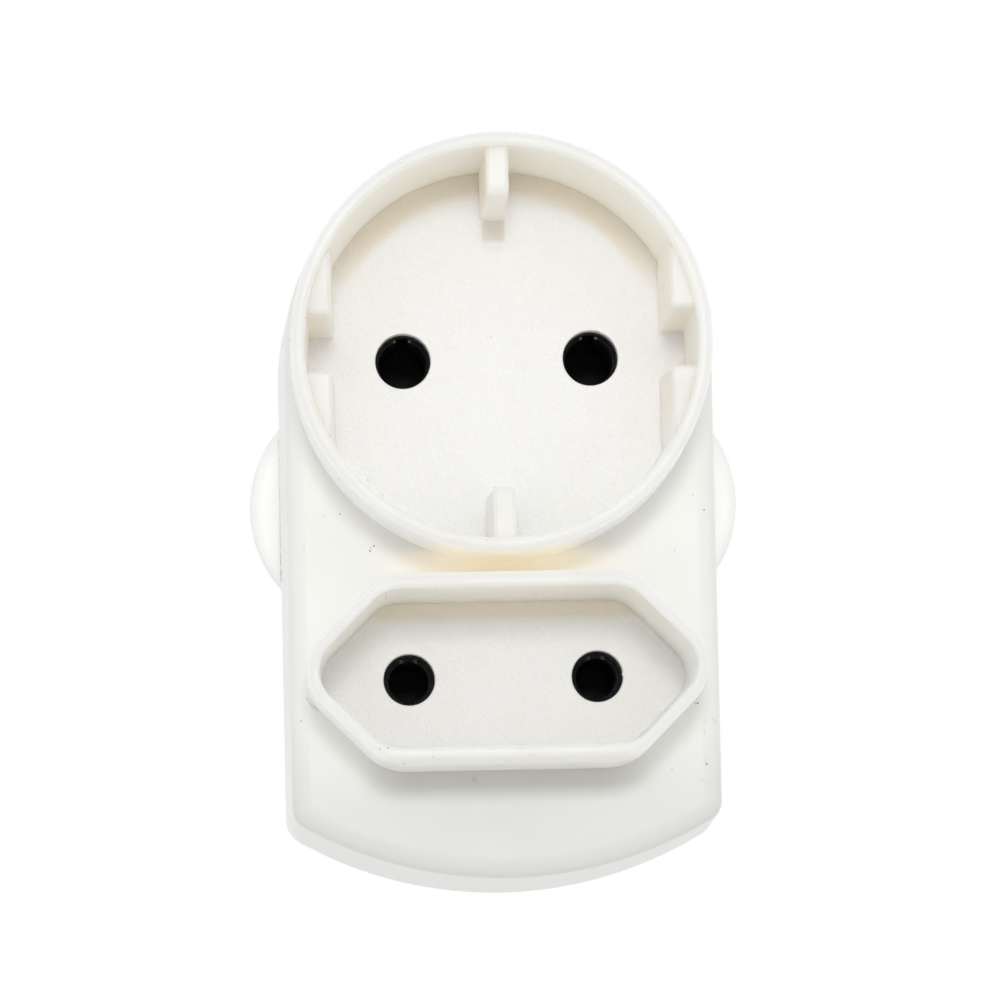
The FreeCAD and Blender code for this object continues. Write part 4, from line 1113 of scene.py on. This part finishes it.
def camera_axes():
    """The camera's place, and which ways are right, up and ahead for it."""
    ahead = Vector((math.sin(LOOK_RIGHT) * math.cos(LOOK_UP),
                    math.cos(LOOK_RIGHT) * math.cos(LOOK_UP),
                    math.sin(LOOK_UP)))
    level_right = Vector((math.cos(LOOK_RIGHT), -math.sin(LOOK_RIGHT), 0.0))
    level_up = level_right.cross(ahead)
    right = math.cos(CAMERA_ROLL) * level_right + math.sin(CAMERA_ROLL) * level_up
    up = math.cos(CAMERA_ROLL) * level_up - math.sin(CAMERA_ROLL) * level_right
    return Vector(CAMERA_TARGET) - CAMERA_DISTANCE * ahead, right, up, ahead


def make_camera():
    """The photograph's camera."""
    place, right, up, ahead = camera_axes()
    camera = bpy.data.cameras.new("Camera")
    camera.lens = LENS_MM
    camera.sensor_width = SENSOR_MM
    camera.clip_start = 0.01
    camera.clip_end = 20.0
    holder = link(camera, "Camera")
    turn = Matrix((right, up, -ahead)).transposed().to_4x4()
    holder.matrix_world = Matrix.Translation(place) @ turn
    bpy.context.scene.camera = holder


def add_lamp(name, place, aim, watts, size, colour):
    """A square lamp that faces its aim."""
    lamp = bpy.data.lights.new(name, "AREA")
    lamp.energy = watts
    lamp.size = size
    lamp.color = colour
    holder = link(lamp, name)
    holder.location = place
    holder.rotation_euler = (Vector(aim) - Vector(place)).to_track_quat("-Z", "Y").to_euler()


COOL_WHITE = (0.955, 0.972, 1.0)
FRONT_LEVEL = 0.86
SIDE_LEVEL = 0.78
KEY_PLACE = (-0.01, -1.33, 0.25)
KEY_AIM = (0.0, -0.045, 0.0)
KEY_WATTS = 4.0
KEY_SIZE = 0.20
BACKDROP_LEVEL = 1.0
FLOOR_LEVEL = -0.085
FLOOR_HALF = 1.5
FLOOR_WHITE = (0.97, 0.96, 0.94)
FLOOR_FADE_MM = (180.0, 700.0)


def make_world():
    """A white tent, a little brighter on the camera's side and plain white to look at."""
    world = bpy.data.worlds.new("white_tent")
    bpy.context.scene.world = world
    world.use_nodes = True
    finish = Finish(world.node_tree)
    backdrop = world.node_tree.nodes["Background"]
    direction = finish.parts(finish.add("TexCoord").outputs["Generated"])
    level = finish.between(direction["Y"], -0.85, 0.1, FRONT_LEVEL, SIDE_LEVEL)
    path = finish.add("LightPath")
    seen = finish.math("MAXIMUM", path.outputs["Is Camera Ray"], path.outputs["Is Glossy Ray"])
    seen = finish.math("MAXIMUM", seen, path.outputs["Is Transmission Ray"])
    lit = finish.math("MULTIPLY", level, finish.without(seen))
    finish.join(finish.math("ADD", lit, finish.math("MULTIPLY", seen, BACKDROP_LEVEL)),
                backdrop.inputs["Strength"])
    finish.join(finish.blend(seen, COOL_WHITE, WHITE), backdrop.inputs["Color"])


def make_floor():
    """A pale floor that ends in white, which the photograph's camera looks over."""
    material, finish, shader = new_material("pale_floor")
    across, away, _ = finish.parts(finish.millimetres())
    far = finish.between(finish.distance(across, away), *FLOOR_FADE_MM)
    finish.join(finish.blend(far, FLOOR_WHITE, BLACK), shader.inputs["Base Color"])
    finish.join(finish.blend(far, BLACK, WHITE), shader.inputs["Emission Color"])
    shader.inputs["Emission Strength"].default_value = 1.0
    shader.inputs["Roughness"].default_value = 0.9
    mesh = bpy.data.meshes.new("floor")
    corners = ((-1, -1), (1, -1), (1, 1), (-1, 1))
    mesh.from_pydata([(FLOOR_HALF * x, FLOOR_HALF * y, FLOOR_LEVEL) for x, y in corners],
                     [], [(0, 1, 2, 3)])
    floor = link(mesh, "floor")
    mesh.materials.append(material)


make_camera()
make_world()
make_floor()
add_lamp("key_above_camera", KEY_PLACE, KEY_AIM, KEY_WATTS, KEY_SIZE, COOL_WHITE)
bpy.context.scene.view_settings.view_transform = "Standard"

for part in frame["record"]["subparts"]:
    finish_node(frame["nodes"][part["node"]], part["material_slot"])

housing = make_front_housing()
finish_housing(housing)
SPECK_TREE = make_speck_tree()
SCRATCH_TREE = make_scratch_tree()
sight = Sight(housing)
SPECK_DIRT = make_grained("dark_speck", colour=(0.035, 0.030, 0.026),
                          mottled=(0.090, 0.078, 0.068), rough=0.7, grains=8.0, patch=1.0,
                          bump_mm=0.003)
HAIR_DIRT = make_grained("scratch_dirt", colour=(0.34, 0.33, 0.30), mottled=(0.50, 0.48, 0.45),
                         rough=0.7, grains=8.0, patch=1.0, bump_mm=0.003)
marks = [
    make_specks("dark_specks", sight, DARK_SPECKS, SPECK_DIRT, 3),
    make_specks("white_nicks", sight, WHITE_NICKS, FINISHES["white_plastic"], 5),
    make_hairs("dark_scratches", sight, DARK_HAIRS, HAIR_MM, HAIR_DIRT, 2.0),
    make_hairs("faint_scratches", sight, FAINT_HAIRS, FAINT_HAIR_MM, HAIR_DIRT, 7.0)]
cover = make_rear_cover()
finish_node(cover, "white_plastic")
for piece, node in ((housing, "front_housing"), (cover, "rear_cover")):
    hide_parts(node)
    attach(piece, "root")

for mark in marks:
    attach(mark, "root")
